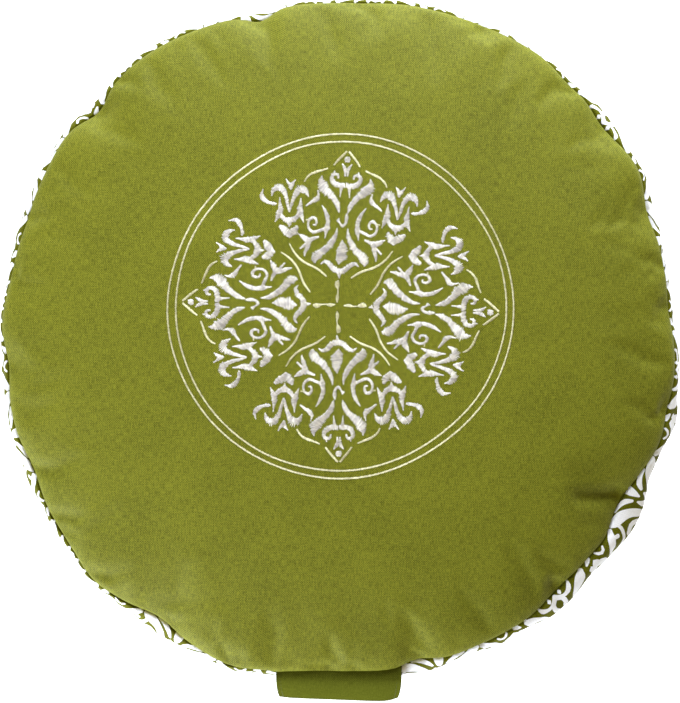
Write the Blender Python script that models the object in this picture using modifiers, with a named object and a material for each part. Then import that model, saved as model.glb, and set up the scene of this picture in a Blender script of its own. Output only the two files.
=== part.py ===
"""A round meditation cushion (zafu), standing on its flat underside, in metres with +Z up.

The cover is sewn from four pieces, and each is an object of its own here:

    top_panel     a round sheet of plain cotton, crowned by the filling under it
    side_band     the upright band, as one solid with the filling that it holds
    bottom_panel  a round sheet of plain cotton, pressed flat where the cushion rests
    handle        a carrying strap, sewn into both seams at the front (-Y)

Each piece is turned from a line and then pushed in or out along the same folds, so the pieces
keep an even gap. The origin is the centre of the flat resting face.
"""

import math
from collections import namedtuple

import bmesh
import bpy

MM = 0.001

# Driving dimensions
HEIGHT = 150 * MM  # floor to the top of the crown
SEAM_RADIUS = 161 * MM
BELLY_RADIUS = 165 * MM
BELLY_HEIGHT = 70 * MM  # the band is widest here, a little under half way up
TOP_SEAM = 129 * MM
BOTTOM_SEAM = 16 * MM
REST_RADIUS = 126 * MM
CLOTH = 1.5 * MM  # the cotton with the stiffening of its seam turned under it
GAP = 0.3 * MM  # between pieces that touch

HANDLE_WIDTH = 58 * MM
HANDLE_END = 59.2 * MM  # its width where it enters a seam and lies flat
HANDLE_THICKNESS = 2.4 * MM  # four layers of the cotton, folded and stitched
HANDLE_REACH = 11.9 * MM  # how far its middle stands off the band
HANDLE_HOLLOW = 1.6 * MM  # how far its long edges curl back towards the band
HANDLE_SIDE = 270  # degrees
HANDLE_FLAT = 2.5 * MM  # the strap pulls the round of the seam straight by this much
LEAST_COSINE = 0.5  # the flat ends well before this

CROWN_POWER = 2.6  # flat in the middle
SHOULDER_POWER = 0.6  # round at the seam
BELLY_POWER = 2.2
SIDE_POWER = 6  # upright over most of the band
SIDE_SHOULDER = 0.5  # with a round at both seams

# How far over the cloth a fold at a seam can be felt, and a flat of the whole outline
FOLD_REACH = 30 * MM
BAND_CORNER = 11 * MM  # a fold ends this far down the band, over a round corner
LOBE_REACH = 36 * MM
SEAM_DROP = 0.35  # a seam that is drawn in is also drawn down, by this share

# Where the outline is uneven. Angles and spreads are in degrees, counter-clockwise from +X.
Unevenness = namedtuple("Unevenness", "angle spread push_mm")

# Broad flats and lobes of the whole band
LOBES = [
    Unevenness(angle=8, spread=9, push_mm=-1.6),
    Unevenness(angle=10, spread=18, push_mm=-4.4),
    Unevenness(angle=28, spread=4, push_mm=1.6),
    Unevenness(angle=49, spread=4, push_mm=-2.0),
    Unevenness(angle=53, spread=16, push_mm=2.8),
    Unevenness(angle=60, spread=9, push_mm=-1.2),
    Unevenness(angle=88, spread=5, push_mm=-1.4),
    Unevenness(angle=99, spread=12, push_mm=-3.0),
    Unevenness(angle=107, spread=5, push_mm=-1.6),
    Unevenness(angle=125, spread=9, push_mm=1.8),
    Unevenness(angle=135, spread=6, push_mm=-1.6),
    Unevenness(angle=143, spread=7, push_mm=1.2),
    Unevenness(angle=174, spread=20, push_mm=-2.2),
    Unevenness(angle=226, spread=9, push_mm=1.8),
    Unevenness(angle=240, spread=6, push_mm=1.4),
    Unevenness(angle=250, spread=8, push_mm=0.8),
    Unevenness(angle=252, spread=4, push_mm=1.0),
    Unevenness(angle=287, spread=5, push_mm=1.4),
    Unevenness(angle=292, spread=12, push_mm=-2.0),
    Unevenness(angle=297, spread=4, push_mm=1.4),
    Unevenness(angle=308, spread=7, push_mm=2.2),
    Unevenness(angle=327, spread=7, push_mm=2.0),
    Unevenness(angle=338, spread=6, push_mm=-2.4),
    Unevenness(angle=346, spread=4, push_mm=1.4),
]

# Folds where the top seam is drawn in, and a few stretches where it stands further out
TOP_FOLDS = [
    Unevenness(angle=5, spread=4, push_mm=-1.2),
    Unevenness(angle=8, spread=9, push_mm=1.6),
    Unevenness(angle=22, spread=4, push_mm=-1.6),
    Unevenness(angle=28, spread=4, push_mm=-1.6),
    Unevenness(angle=30, spread=4, push_mm=1.8),
    Unevenness(angle=40, spread=5, push_mm=-2.8),
    Unevenness(angle=60, spread=9, push_mm=1.2),
    Unevenness(angle=86, spread=5, push_mm=-1.0),
    Unevenness(angle=88, spread=5, push_mm=1.4),
    Unevenness(angle=99, spread=5, push_mm=1.2),
    Unevenness(angle=105, spread=3, push_mm=-4.0),
    Unevenness(angle=107, spread=5, push_mm=1.6),
    Unevenness(angle=135, spread=6, push_mm=1.6),
    Unevenness(angle=138, spread=4, push_mm=-4.6),
    Unevenness(angle=161, spread=4, push_mm=-0.8),
    Unevenness(angle=178, spread=5, push_mm=2.0),
    Unevenness(angle=186, spread=4, push_mm=-1.4),
    Unevenness(angle=204, spread=5, push_mm=-2.2),
    Unevenness(angle=225, spread=4, push_mm=1.6),
    Unevenness(angle=238, spread=5, push_mm=-4.2),
    Unevenness(angle=252, spread=4, push_mm=-1.0),
    Unevenness(angle=252, spread=5, push_mm=2.4),
    Unevenness(angle=284, spread=4, push_mm=-3.6),
    Unevenness(angle=295, spread=5, push_mm=0.6),
    Unevenness(angle=297, spread=4, push_mm=-1.4),
    Unevenness(angle=311, spread=7, push_mm=-5.2),
    Unevenness(angle=321, spread=5, push_mm=-3.6),
    Unevenness(angle=326, spread=3, push_mm=-1.8),
    Unevenness(angle=330, spread=5, push_mm=-8.4),
    Unevenness(angle=336, spread=3, push_mm=-1.2),
    Unevenness(angle=347, spread=4, push_mm=-2.8),
]

# The bottom seam is out of sight, so its folds are spaced evenly
BOTTOM_FOLDS = [Unevenness(angle=angle, spread=6, push_mm=-2.0) for angle in range(15, 375, 30)]

STEPS_ROUND = 90
CROWN_RINGS = 7
BAND_RINGS = 11
TUCK_RINGS = 3
HANDLE_ROWS = 14
HANDLE_COLUMNS = 4
SHARP_ANGLE = 40  # degrees

Finish = namedtuple("Finish", "colour roughness")
FINISHES = {
    "plain_cotton": Finish(colour=(0.262, 0.275, 0.026, 1), roughness=0.9),
    "printed_cotton": Finish(colour=(0.62, 0.61, 0.50, 1), roughness=0.9),
    "strap_cotton": Finish(colour=(0.195, 0.215, 0.024, 1), roughness=0.9),
}


# ---------------------------------------------------------------- lines that are turned
# A line is a list of (radius, height). It runs down the outside, from the axis at the top to the
# axis at the bottom.


def crown_height(radius):
    """Height of the top panel's face at this distance from the axis."""
    share = min(radius / SEAM_RADIUS, 1)
    return TOP_SEAM + (HEIGHT - TOP_SEAM) * (1 - share**CROWN_POWER) ** SHOULDER_POWER


def belly_radius(height):
    """Radius of the side band's face at this height."""
    seam = TOP_SEAM if height > BELLY_HEIGHT else BOTTOM_SEAM
    share = min((height - BELLY_HEIGHT) / (seam - BELLY_HEIGHT), 1)
    return SEAM_RADIUS + (BELLY_RADIUS - SEAM_RADIUS) * (1 - share**SIDE_POWER) ** SIDE_SHOULDER


def tuck_height(radius):
    """Height of the bottom panel's face: zero where it rests, rising to the bottom seam."""
    share = (radius - REST_RADIUS) / (SEAM_RADIUS - REST_RADIUS)
    return BOTTOM_SEAM * (1 - (1 - share**BELLY_POWER) ** SHOULDER_POWER)


def crown_line():
    """From the axis to the top seam. The rings crowd towards the seam, where the cloth turns."""
    turns = [math.pi / 2 * ring / CROWN_RINGS for ring in range(1, CROWN_RINGS + 1)]
    radii = [SEAM_RADIUS * math.sin(turn) for turn in turns]
    return [(0, HEIGHT)] + [(radius, crown_height(radius)) for radius in radii]


def band_line():
    """From the top seam down to the bottom seam. The rings crowd towards both seams."""
    middle, half = (TOP_SEAM + BOTTOM_SEAM) / 2, (TOP_SEAM - BOTTOM_SEAM) / 2
    heights = [middle + half * math.cos(math.pi * ring / BAND_RINGS) for ring in range(BAND_RINGS + 1)]
    return [(belly_radius(height), height) for height in heights]


def tuck_line():
    """From the bottom seam to the edge of the resting face, and on to the axis."""
    turns = [math.pi / 2 * ring / TUCK_RINGS for ring in range(TUCK_RINGS)]
    radii = [REST_RADIUS + (SEAM_RADIUS - REST_RADIUS) * math.cos(turn) for turn in turns]
    return [(radius, tuck_height(radius)) for radius in radii] + [(REST_RADIUS, 0), (0, 0)]


def lengthened(line, distance):
    """The same line with its last point moved on by this distance."""
    (radius, height), (last_radius, last_height) = line[-2:]
    share = 1 + distance / math.hypot(last_radius - radius, last_height - height)
    end = (radius + (last_radius - radius) * share, height + (last_height - height) * share)
    return line[:-1] + [end]


def inset(line, depth):
    """The same line, moved by this depth towards the filling."""
    moved = []
    for index, (radius, height) in enumerate(line):
        before = line[max(index - 1, 0)]
        after = line[min(index + 1, len(line) - 1)]
        out, up = after[0] - before[0], after[1] - before[1]
        length = math.hypot(out, up)
        moved.append((max(radius + up / length * depth, 0), height - out / length * depth))
    return moved


# ---------------------------------------------------------------- folds


def turn_between(angle, other):
    """The smaller angle between two directions, in degrees."""
    return abs((angle - other + 180) % 360 - 180)


def push_of(table, angle):
    """How far out the rows of a table move the cloth in this direction."""
    return sum(
        row.push_mm * MM * math.exp(-((turn_between(angle, row.angle) / row.spread) ** 2))
        for row in table
    )


def handle_flat(angle):
    """How far in the cloth lies behind the handle, where its outline is straight."""
    turn = turn_between(angle, HANDLE_SIDE)
    straight = (SEAM_RADIUS - HANDLE_FLAT) / max(math.cos(math.radians(turn)), LEAST_COSINE)
    return max(SEAM_RADIUS - straight, 0)


def nearness(distance, reach):
    """1 at no distance, falling away to 0 past the reach."""
    return math.exp(-((distance / reach) ** 2))


def corner_nearness(distance):
    """1 at the seam, falling to 0 over the band's round corner."""
    share = 1 - min(distance / BAND_CORNER, 1)
    return 1 - math.sqrt(1 - share**2)


def folded(radius, height, angle):
    """Where the folds carry a point of the turned shape: its new radius and height."""
    if radius > SEAM_RADIUS:
        near_top = corner_nearness(abs(height - TOP_SEAM))
        near_bottom = corner_nearness(abs(height - BOTTOM_SEAM))
    else:
        near_top = nearness(math.hypot(radius - SEAM_RADIUS, height - TOP_SEAM), FOLD_REACH)
        near_bottom = nearness(math.hypot(radius - SEAM_RADIUS, height - BOTTOM_SEAM), FOLD_REACH)
    from_band = max(SEAM_RADIUS - radius, 0)
    top_push = push_of(TOP_FOLDS, angle) * near_top
    bottom_push = push_of(BOTTOM_FOLDS, angle) * near_bottom
    lobe_push = (push_of(LOBES, angle) - handle_flat(angle)) * nearness(from_band, LOBE_REACH)
    return radius + top_push + bottom_push + lobe_push, height + SEAM_DROP * top_push


# ---------------------------------------------------------------- modelling


def clear_scene():
    for obj in list(bpy.data.objects):
        bpy.data.objects.remove(obj)


def cotton(name):
    """One of the woven cottons, by its name in FINISHES."""
    material = bpy.data.materials.new(name)
    material.use_nodes = True
    shader = material.node_tree.nodes["Principled BSDF"]
    shader.inputs["Base Color"].default_value = FINISHES[name].colour
    shader.inputs["Roughness"].default_value = FINISHES[name].roughness
    return material


def turned(name, line, collection):
    """An object of the surface that a line sweeps round the axis."""
    edges = [(index, index + 1) for index in range(len(line) - 1)]
    guide_mesh = bpy.data.meshes.new(name + "_line")
    guide_mesh.from_pydata([(radius, 0, height) for radius, height in line], edges, [])
    guide = bpy.data.objects.new(name + "_line", guide_mesh)
    collection.objects.link(guide)
    screw = guide.modifiers.new("turn", "SCREW")
    screw.steps = screw.render_steps = STEPS_ROUND
    screw.use_merge_vertices = True
    screw.merge_threshold = 0.01 * MM
    graph = bpy.context.evaluated_depsgraph_get()
    mesh = bpy.data.meshes.new_from_object(guide.evaluated_get(graph))
    bpy.data.objects.remove(guide)
    obj = bpy.data.objects.new(name, mesh)
    collection.objects.link(obj)
    return obj


def fold(obj):
    """Moves a turned object's points to where the folds of the cloth carry them."""
    for vertex in obj.data.vertices:
        x, y, height = vertex.co
        radius = math.hypot(x, y)
        if radius < MM:
            continue
        new_radius, new_height = folded(radius, height, math.degrees(math.atan2(y, x)))
        # The resting face stays flat.
        vertex.co.z = new_height if height > 0 else 0
        vertex.co.x = x * new_radius / radius
        vertex.co.y = y * new_radius / radius


def thicken(obj, thickness, offset):
    """Gives a sheet its thickness, on the side that the offset says (-1 is behind its face)."""
    solidify = obj.modifiers.new("thickness", "SOLIDIFY")
    solidify.thickness = thickness
    solidify.offset = offset
    solidify.use_even_offset = True


def finish(obj, material):
    obj.data.materials.append(material)
    obj.data.shade_smooth()
    obj.data.set_sharp_from_angle(angle=math.radians(SHARP_ANGLE))


def make_panel(name, line, collection, material):
    """A sheet of cotton over the top or the bottom of the cushion."""
    panel = turned(name, line, collection)
    fold(panel)
    thicken(panel, CLOTH, -1)
    finish(panel, material)


def make_side_band(collection, material):
    """The band and the filling that it holds, with its edges close beside those of the panels."""
    crown = lengthened(crown_line(), GAP)
    tuck = list(reversed(lengthened(list(reversed(tuck_line())), GAP)))
    under_crown = inset(crown, CLOTH + GAP)
    over_tuck = inset(tuck, CLOTH + GAP)
    face = [crown[-1]] + band_line()[1:-1] + [tuck[0]]
    band = turned("side_band", under_crown + face + over_tuck, collection)
    fold(band)
    finish(band, material)


def make_handle(collection, material):
    """A flat strap that leaves one seam, stands off the band and enters the other seam."""
    top = TOP_SEAM - CLOTH
    bottom = BOTTOM_SEAM + CLOTH
    grid = bmesh.new()
    bmesh.ops.create_grid(grid, x_segments=HANDLE_COLUMNS, y_segments=HANDLE_ROWS, size=1)
    for vertex in grid.verts:
        across, along = vertex.co.x, vertex.co.y
        height = (top + bottom) / 2 + along * (top - bottom) / 2
        bow = 1 - abs(along) ** BELLY_POWER
        half_width = (HANDLE_END + (HANDLE_WIDTH - HANDLE_END) * bow) / 2
        band, _ = folded(belly_radius(height), height, HANDLE_SIDE)
        stand_off = (HANDLE_REACH - HANDLE_HOLLOW * across**2) * bow
        out = band + 2 * GAP + HANDLE_THICKNESS / 2 + stand_off
        vertex.co = (across * half_width, -out, height)
    mesh = bpy.data.meshes.new("handle")
    grid.to_mesh(mesh)
    grid.free()
    strap = bpy.data.objects.new("handle", mesh)
    collection.objects.link(strap)
    thicken(strap, HANDLE_THICKNESS, 0)
    bevel = strap.modifiers.new("soft_edges", "BEVEL")
    bevel.width = HANDLE_THICKNESS / 3
    bevel.segments = 2
    finish(strap, material)


def main():
    clear_scene()
    cushion = bpy.data.collections.new("meditation_cushion")
    bpy.context.scene.collection.children.link(cushion)
    plain_cotton = cotton("plain_cotton")
    make_panel("top_panel", crown_line(), cushion, plain_cotton)
    make_panel("bottom_panel", tuck_line(), cushion, plain_cotton)
    make_side_band(cushion, cotton("printed_cotton"))
    make_handle(cushion, cotton("strap_cotton"))


main()
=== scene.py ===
# %% [markdown]
# # A round meditation cushion, sewn, filled and embroidered
#
# This lesson dresses a zafu, the round cushion that people sit on to meditate. Its top and its underside are
# rounds of plain green cotton. Between them runs an upright band of the same cotton with a white print. A
# strap is sewn into both seams at the front, and a medallion is embroidered on the top.
#
# The cushion's real shape and size were worked out first, in a CAD model. Here that model is loaded as a
# fixed frame, and every piece of cloth is made again over it with the detail that a camera would see.

# %% Load the frame
import math
from collections import namedtuple

import bpy
import numpy as np
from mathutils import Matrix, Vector, geometry


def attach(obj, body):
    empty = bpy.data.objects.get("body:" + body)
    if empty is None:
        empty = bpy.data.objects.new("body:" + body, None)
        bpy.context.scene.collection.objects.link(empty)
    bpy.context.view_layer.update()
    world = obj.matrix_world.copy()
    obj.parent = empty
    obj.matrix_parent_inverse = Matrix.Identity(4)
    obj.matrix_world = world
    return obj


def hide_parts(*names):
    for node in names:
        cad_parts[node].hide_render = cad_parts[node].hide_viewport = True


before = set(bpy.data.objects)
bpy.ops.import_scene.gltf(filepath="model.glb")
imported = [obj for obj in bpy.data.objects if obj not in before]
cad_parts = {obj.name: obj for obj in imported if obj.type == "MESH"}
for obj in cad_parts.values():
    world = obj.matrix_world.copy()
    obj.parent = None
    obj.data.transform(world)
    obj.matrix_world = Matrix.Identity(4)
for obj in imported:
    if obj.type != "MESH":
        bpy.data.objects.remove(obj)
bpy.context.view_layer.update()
MM = 0.001
print("CAD nodes:", sorted(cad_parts))

# %% [markdown]
# ## The camera
#
# The photograph looks almost straight down. The camera hangs 1.27 m above the floor and a little towards
# the strap. Its lens is long, because the cushion fills the picture from that far away. The aim is a
# few millimetres off the cushion's middle, as the cushion sits a little high in the picture.

# %% Hang the camera over the cushion
PICTURE_WIDE = 680
PICTURE_HIGH = 703
SENSOR = 36
FOCUS_IN_PIXELS = 2416
CAMERA_PLACE = (0, -52 * MM, 1272 * MM)
CAMERA_AIM = (-0.5 * MM, -5.2 * MM, 70 * MM)


def looking(obj, place, target):
    """Puts a camera or a light at a place, facing a target."""
    obj.location = place
    obj.rotation_euler = (Vector(target) - Vector(place)).to_track_quat("-Z", "Y").to_euler()
    bpy.context.scene.collection.objects.link(obj)


camera = bpy.data.objects.new("camera", bpy.data.cameras.new("camera"))
camera.data.sensor_width = SENSOR
camera.data.lens = FOCUS_IN_PIXELS * SENSOR / max(PICTURE_WIDE, PICTURE_HIGH)
looking(camera, CAMERA_PLACE, CAMERA_AIM)
bpy.context.scene.camera = camera
print("lens:", round(camera.data.lens, 1), "mm")

# %% [markdown]
# ## Colours and nodes
#
# Colours are written as they are seen on a screen, as sRGB hex values. Blender works with linear light, so
# one function turns them. A second one adds a shader node, with its settings and with what feeds it. A third
# one gives a node's inputs fixed values.

# %% Helpers for materials


def linear(code, alpha=1):
    """The linear colour of an sRGB hex value."""
    channels = [int(code[place : place + 2], 16) / 255 for place in (1, 3, 5)]
    light = [c / 12.92 if c <= 0.04045 else ((c + 0.055) / 1.055) ** 2.4 for c in channels]
    return (*light, alpha)


def add(tree, kind, fed=None, out=0, **settings):
    """Adds a node, with a value or another node's output for each input in fed. Gives one of its outputs."""
    node = tree.nodes.new("ShaderNode" + kind)
    for name, value in settings.items():
        setattr(node, name, value)
    for name, value in (fed or {}).items():
        if isinstance(value, bpy.types.NodeSocket):
            tree.links.new(value, node.inputs[name])
        else:
            node.inputs[name].default_value = value
    return node.outputs[out]


def set_inputs(node, values):
    """Gives a node's own sockets fixed values."""
    for name, value in values.items():
        node.inputs[name].default_value = value


def new_material(name):
    """An empty material, its node tree and its main shader."""
    material = bpy.data.materials.new(name)
    material.use_nodes = True
    return material, material.node_tree, material.node_tree.nodes["Principled BSDF"]


# %% [markdown]
# ## The studio
#
# The photograph has a plain white ground and soft light. A matt white floor does for the ground. It glows,
# like a light table, so that no shadow greys it and the print on the band's sides is well lit. A warm, dim
# sky lights all sides. A broad, cooler softbox stands low behind the cushion and a weaker one at its left
# front. Low lights brighten the slopes of the crown more than its middle, and give the folds a lit and a
# shaded side.

# %% Floor, sky and lamps
FLOOR_DROP = 0.2 * MM  # a hair under the cushion, so that the two faces don't fight
FLOOR_HALF = 4.0
FLOOR_GLOW = 1.15
SKY_STRENGTH = 0.33
SOFTBOX_SIZE = 0.8
SOFTBOX_AIM = (0, 0, 0.1)
SOFTBOXES = [
    ("main_softbox", (0.12, 1.12, 0.58), 39),
    ("fill_softbox", (-0.75, -1.0, 0.42), 35),
]


def make_studio():
    """A glowing floor, a dim sky and the softboxes."""
    mesh = bpy.data.meshes.new("floor")
    corners = [(-1, -1), (1, -1), (1, 1), (-1, 1)]
    points = [(x * FLOOR_HALF, y * FLOOR_HALF, -FLOOR_DROP) for x, y in corners]
    mesh.from_pydata(points, [], [(0, 1, 2, 3)])
    floor = bpy.data.objects.new("floor", mesh)
    bpy.context.scene.collection.objects.link(floor)
    paper, _, shader = new_material("studio_paper")
    set_inputs(shader, {"Base Color": linear("#F7F7F5"), "Roughness": 0.95, "Specular IOR Level": 0.1})
    set_inputs(shader, {"Emission Color": linear("#F2F6FF"), "Emission Strength": FLOOR_GLOW})
    mesh.materials.append(paper)

    sky = bpy.data.worlds.new("sky")
    sky.use_nodes = True
    glow = sky.node_tree.nodes["Background"]
    set_inputs(glow, {"Color": linear("#FFE8A0"), "Strength": SKY_STRENGTH})
    bpy.context.scene.world = sky

    for name, place, energy in SOFTBOXES:
        lamp = bpy.data.lights.new(name, "AREA")
        lamp.shape = "SQUARE"
        lamp.size = SOFTBOX_SIZE
        lamp.energy = energy
        lamp.color = linear("#EEF4FF")[:3]
        looking(bpy.data.objects.new(name, lamp), place, SOFTBOX_AIM)


make_studio()
bpy.context.scene.view_settings.view_transform = "Standard"
print("studio: floor, sky and", len(SOFTBOXES), "softboxes")

# %% [markdown]
# ## The shape that the cloth follows
#
# The CAD model was turned on an axis and then pushed in and out along its folds. The same few formulas are
# repeated here, because a finer surface is wanted than the CAD's facets give. Each piece of the cover
# is known by the line that it is turned from. A point on it has an angle round the axis, counted from +X,
# and a way: how far it lies down the cloth from the middle of the crown, measured along the cloth. The
# way and the angle are also where the point lay on the flat cloth before it was sewn.

# %% Sizes of the cover
HEIGHT = 150 * MM
SEAM_RADIUS = 161 * MM
BELLY_RADIUS = 165 * MM
BELLY_HEIGHT = 70 * MM
TOP_SEAM = 129 * MM
BOTTOM_SEAM = 16 * MM
REST_RADIUS = 126 * MM
CROWN_POWER = 2.6
SHOULDER_POWER = 0.6
BELLY_POWER = 2.2
SIDE_POWER = 6
SIDE_SHOULDER = 0.5
FOLD_REACH = 30 * MM
BAND_CORNER = 11 * MM
LOBE_REACH = 36 * MM
SEAM_DROP = 0.35  # how far a seam goes down for each millimetre that it goes in
ON_THE_FLOOR = 0.01 * MM  # cloth no higher than this rests on the floor
HANDLE_SIDE = 270
HANDLE_FLAT = 2.5 * MM
LEAST_COSINE = 0.5  # the strap's flat ends well before this

Unevenness = namedtuple("Unevenness", "angle spread push_mm")


def uneven(*rows):
    """A table of pushes in millimetres, each at an angle and over a spread in degrees."""
    return [Unevenness(*row) for row in rows]


LOBES = uneven(
    (8, 9, -1.6), (10, 18, -4.4), (28, 4, 1.6), (49, 4, -2.0), (53, 16, 2.8), (60, 9, -1.2),
    (88, 5, -1.4), (99, 12, -3.0), (107, 5, -1.6), (125, 9, 1.8), (135, 6, -1.6), (143, 7, 1.2),
    (174, 20, -2.2), (226, 9, 1.8), (240, 6, 1.4), (250, 8, 0.8), (252, 4, 1.0), (287, 5, 1.4),
    (292, 12, -2.0), (297, 4, 1.4), (308, 7, 2.2), (327, 7, 2.0), (338, 6, -2.4), (346, 4, 1.4),
)
TOP_FOLDS = uneven(
    (5, 4, -1.2), (8, 9, 1.6), (22, 4, -1.6), (28, 4, -1.6), (30, 4, 1.8), (40, 5, -2.8), (60, 9, 1.2),
    (86, 5, -1.0), (88, 5, 1.4), (99, 5, 1.2), (105, 3, -4.0), (107, 5, 1.6), (135, 6, 1.6),
    (138, 4, -4.6), (161, 4, -0.8), (178, 5, 2.0), (186, 4, -1.4), (204, 5, -2.2), (225, 4, 1.6),
    (238, 5, -4.2), (252, 4, -1.0), (252, 5, 2.4), (284, 4, -3.6), (295, 5, 0.6), (297, 4, -1.4),
    (311, 7, -5.2), (321, 5, -3.6), (326, 3, -1.8), (330, 5, -8.4), (336, 3, -1.2), (347, 4, -2.8),
)
BOTTOM_FOLDS = uneven(*[(angle, 6, -2.0) for angle in range(15, 375, 30)])
print(len(LOBES), "lobes; folds:", len(TOP_FOLDS), "at the top seam,", len(BOTTOM_FOLDS), "at the bottom one")

# %% Small soft creases of the top, from start to end in millimetres from the axis
Crease = namedtuple("Crease", "start end depth reach")
CREASES = [Crease(*row) for row in (
    ((-149, -63.6), (-133, -64.3), 1.0, 3.2), ((-136, -85.3), (-124, -87.2), 0.9, 3),
    ((-130, -93.4), (-124.5, -95.7), 0.6, 2.6), ((-116, -112.3), (-108, -114.7), 0.9, 2.8),
    ((-106.5, -123.6), (-102, -123.2), 0.8, 2.8), ((-91, -127.9), (-52, -124.6), 0.8, 4.4),
    ((-53, -154.4), (-45.5, -153), 0.6, 2.6), ((-151, 56), (-141.5, 55.2), 0.9, 3),
    ((-116, 102), (-108.4, 109.1), 0.9, 3.4), ((-105, 120), (-101, 119), 0.6, 2.6),
    ((130, -73.5), (113, -75.4), 2.4, 4), ((123.4, -89), (117, -86), 0.8, 3.4),
    ((106, -122), (101, -117), 0.6, 3.4),
)]
print(len(CREASES), "creases")

# %% The lines that the three pieces are turned from
LINE_POINTS = 600


def lengths_along(points):
    """How far along a flat line each of its points lies."""
    return np.concatenate([[0], np.cumsum(np.hypot(*np.diff(points, axis=0).T))])


def read_along(places, travelled, parts):
    """Reads the parts of a line, such as its x and its y, at places along it."""
    return np.stack([np.interp(places, travelled, part) for part in parts], axis=-1)


def eased(share):
    """A share from 0 to 1 with a smooth start and a smooth end."""
    return share * share * (3 - 2 * share)


def crown_height(radius):
    """Height of the top panel at a distance from the axis."""
    share = np.minimum(radius / SEAM_RADIUS, 1)
    return TOP_SEAM + (HEIGHT - TOP_SEAM) * (1 - share**CROWN_POWER) ** SHOULDER_POWER


def belly_radius(height):
    """Distance of the band from the axis at a height."""
    seam = np.where(height > BELLY_HEIGHT, TOP_SEAM, BOTTOM_SEAM)
    share = np.clip((height - BELLY_HEIGHT) / (seam - BELLY_HEIGHT), 0, 1)
    return SEAM_RADIUS + (BELLY_RADIUS - SEAM_RADIUS) * (1 - share**SIDE_POWER) ** SIDE_SHOULDER


def tuck_height(radius):
    """Height of the underside between its flat and the bottom seam."""
    share = np.clip((radius - REST_RADIUS) / (SEAM_RADIUS - REST_RADIUS), 0, 1)
    return BOTTOM_SEAM * (1 - (1 - share**BELLY_POWER) ** SHOULDER_POWER)


def whole_line():
    """Radius, height and way along the line from the crown's middle to the middle of the underside."""
    quarter = np.linspace(0, math.pi / 2, LINE_POINTS)
    crown = SEAM_RADIUS * np.sin(quarter)
    half_turn = np.linspace(0, math.pi, LINE_POINTS)
    band = ((TOP_SEAM + BOTTOM_SEAM) / 2 + (TOP_SEAM - BOTTOM_SEAM) / 2 * np.cos(half_turn))[1:]
    tuck = (REST_RADIUS + (SEAM_RADIUS - REST_RADIUS) * np.cos(quarter))[1:]
    radius = np.concatenate([crown, belly_radius(band), tuck, [0]])
    height = np.concatenate([crown_height(crown), band, tuck_height(tuck), [0]])
    return radius, height, lengths_along(np.stack([radius, height], axis=-1))


LINE_RADIUS, LINE_HEIGHT, LINE_WAY = whole_line()
TOP_WAY = LINE_WAY[LINE_POINTS - 1]
BOTTOM_WAY = LINE_WAY[2 * LINE_POINTS - 2]
REST_WAY = LINE_WAY[-2]
END_WAY = LINE_WAY[-1]
print("along the cloth in mm: top seam", round(TOP_WAY / MM), "bottom seam", round(BOTTOM_WAY / MM))

# %% Folds push the turned shape in and out


def turn_between(angle, other):
    """Degrees between two directions, the short way round."""
    return np.abs((angle - other + 180) % 360 - 180)


def nearness(distance, reach):
    """1 at no distance, and next to nothing at twice the reach."""
    return np.exp(-((distance / reach) ** 2))


def push_of(table, angle):
    """How far a table of unevenness pushes the cloth out at an angle."""
    pushes = [row.push_mm * MM * nearness(turn_between(angle, row.angle), row.spread) for row in table]
    return np.sum(pushes, axis=0)


def handle_flat(angle):
    """How far the strap's seam is drawn flat, from its arc towards its chord."""
    cosine = np.cos(np.radians(turn_between(angle, HANDLE_SIDE)))
    return np.maximum(SEAM_RADIUS - (SEAM_RADIUS - HANDLE_FLAT) / np.maximum(cosine, LEAST_COSINE), 0)


def seam_share(radius, height, seam_height):
    """How much of a seam's fold a point takes part in, from 1 at the seam to 0."""
    corner = np.maximum(1 - np.abs(height - seam_height) / BAND_CORNER, 0)
    on_band = 1 - np.sqrt(1 - corner**2)
    on_panel = nearness(np.hypot(radius - SEAM_RADIUS, height - seam_height), FOLD_REACH)
    return np.where(radius > SEAM_RADIUS, on_band, on_panel)


def creased(x, y):
    """How deep the small creases of the top panel lie at places in millimetres."""
    depth = 0
    for crease in CREASES:
        start = np.array(crease.start)
        run = np.array(crease.end) - start
        along = (x - start[0]) * run[0] + (y - start[1]) * run[1]
        share = np.clip(along / (run @ run), 0, 1)
        off = np.hypot(x - start[0] - share * run[0], y - start[1] - share * run[1])
        depth = depth + crease.depth * nearness(off, crease.reach)
    return depth * MM


def sculpted(way, angle):
    """Points of the cover where the formulas put them, for arrays of ways and angles."""
    radius = np.interp(way, LINE_WAY, LINE_RADIUS)
    height = np.interp(way, LINE_WAY, LINE_HEIGHT)
    top_push = push_of(TOP_FOLDS, angle) * seam_share(radius, height, TOP_SEAM)
    bottom_push = push_of(BOTTOM_FOLDS, angle) * seam_share(radius, height, BOTTOM_SEAM)
    from_band = np.maximum(SEAM_RADIUS - radius, 0)
    lobe_push = (push_of(LOBES, angle) - handle_flat(angle)) * nearness(from_band, LOBE_REACH)
    out = radius + top_push + bottom_push + lobe_push
    up = np.where(height > ON_THE_FLOOR, height + SEAM_DROP * top_push, 0)
    turn = np.radians(angle)
    x, y = out * np.cos(turn), out * np.sin(turn)
    up = up - np.where(way < TOP_WAY, creased(x / MM, y / MM), 0)
    return np.stack([x, y, up], axis=-1)


# %% [markdown]
# ## Letting the cloth settle
#
# A round of cloth that is eased into a seam has a little too much cloth at its edge, and the spare cloth
# buckles into small puckers. They could be painted or sculpted one by one, but Blender's cloth simulation
# makes them as the real cloth does. A grid of cloth is laid over the sculpted shape, the two seams are
# pinned, and the cloth beside the seams grows by one to three percent. Pressure from inside stands for
# the filling. The result is read back as how far each grid point moved, and every piece is then made with
# that. The sculpted shape already has the full cushion's outline, so only the puckers are kept. The broad
# swelling is taken out with a Fourier transform, which splits the movement into waves round the cushion.

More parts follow.
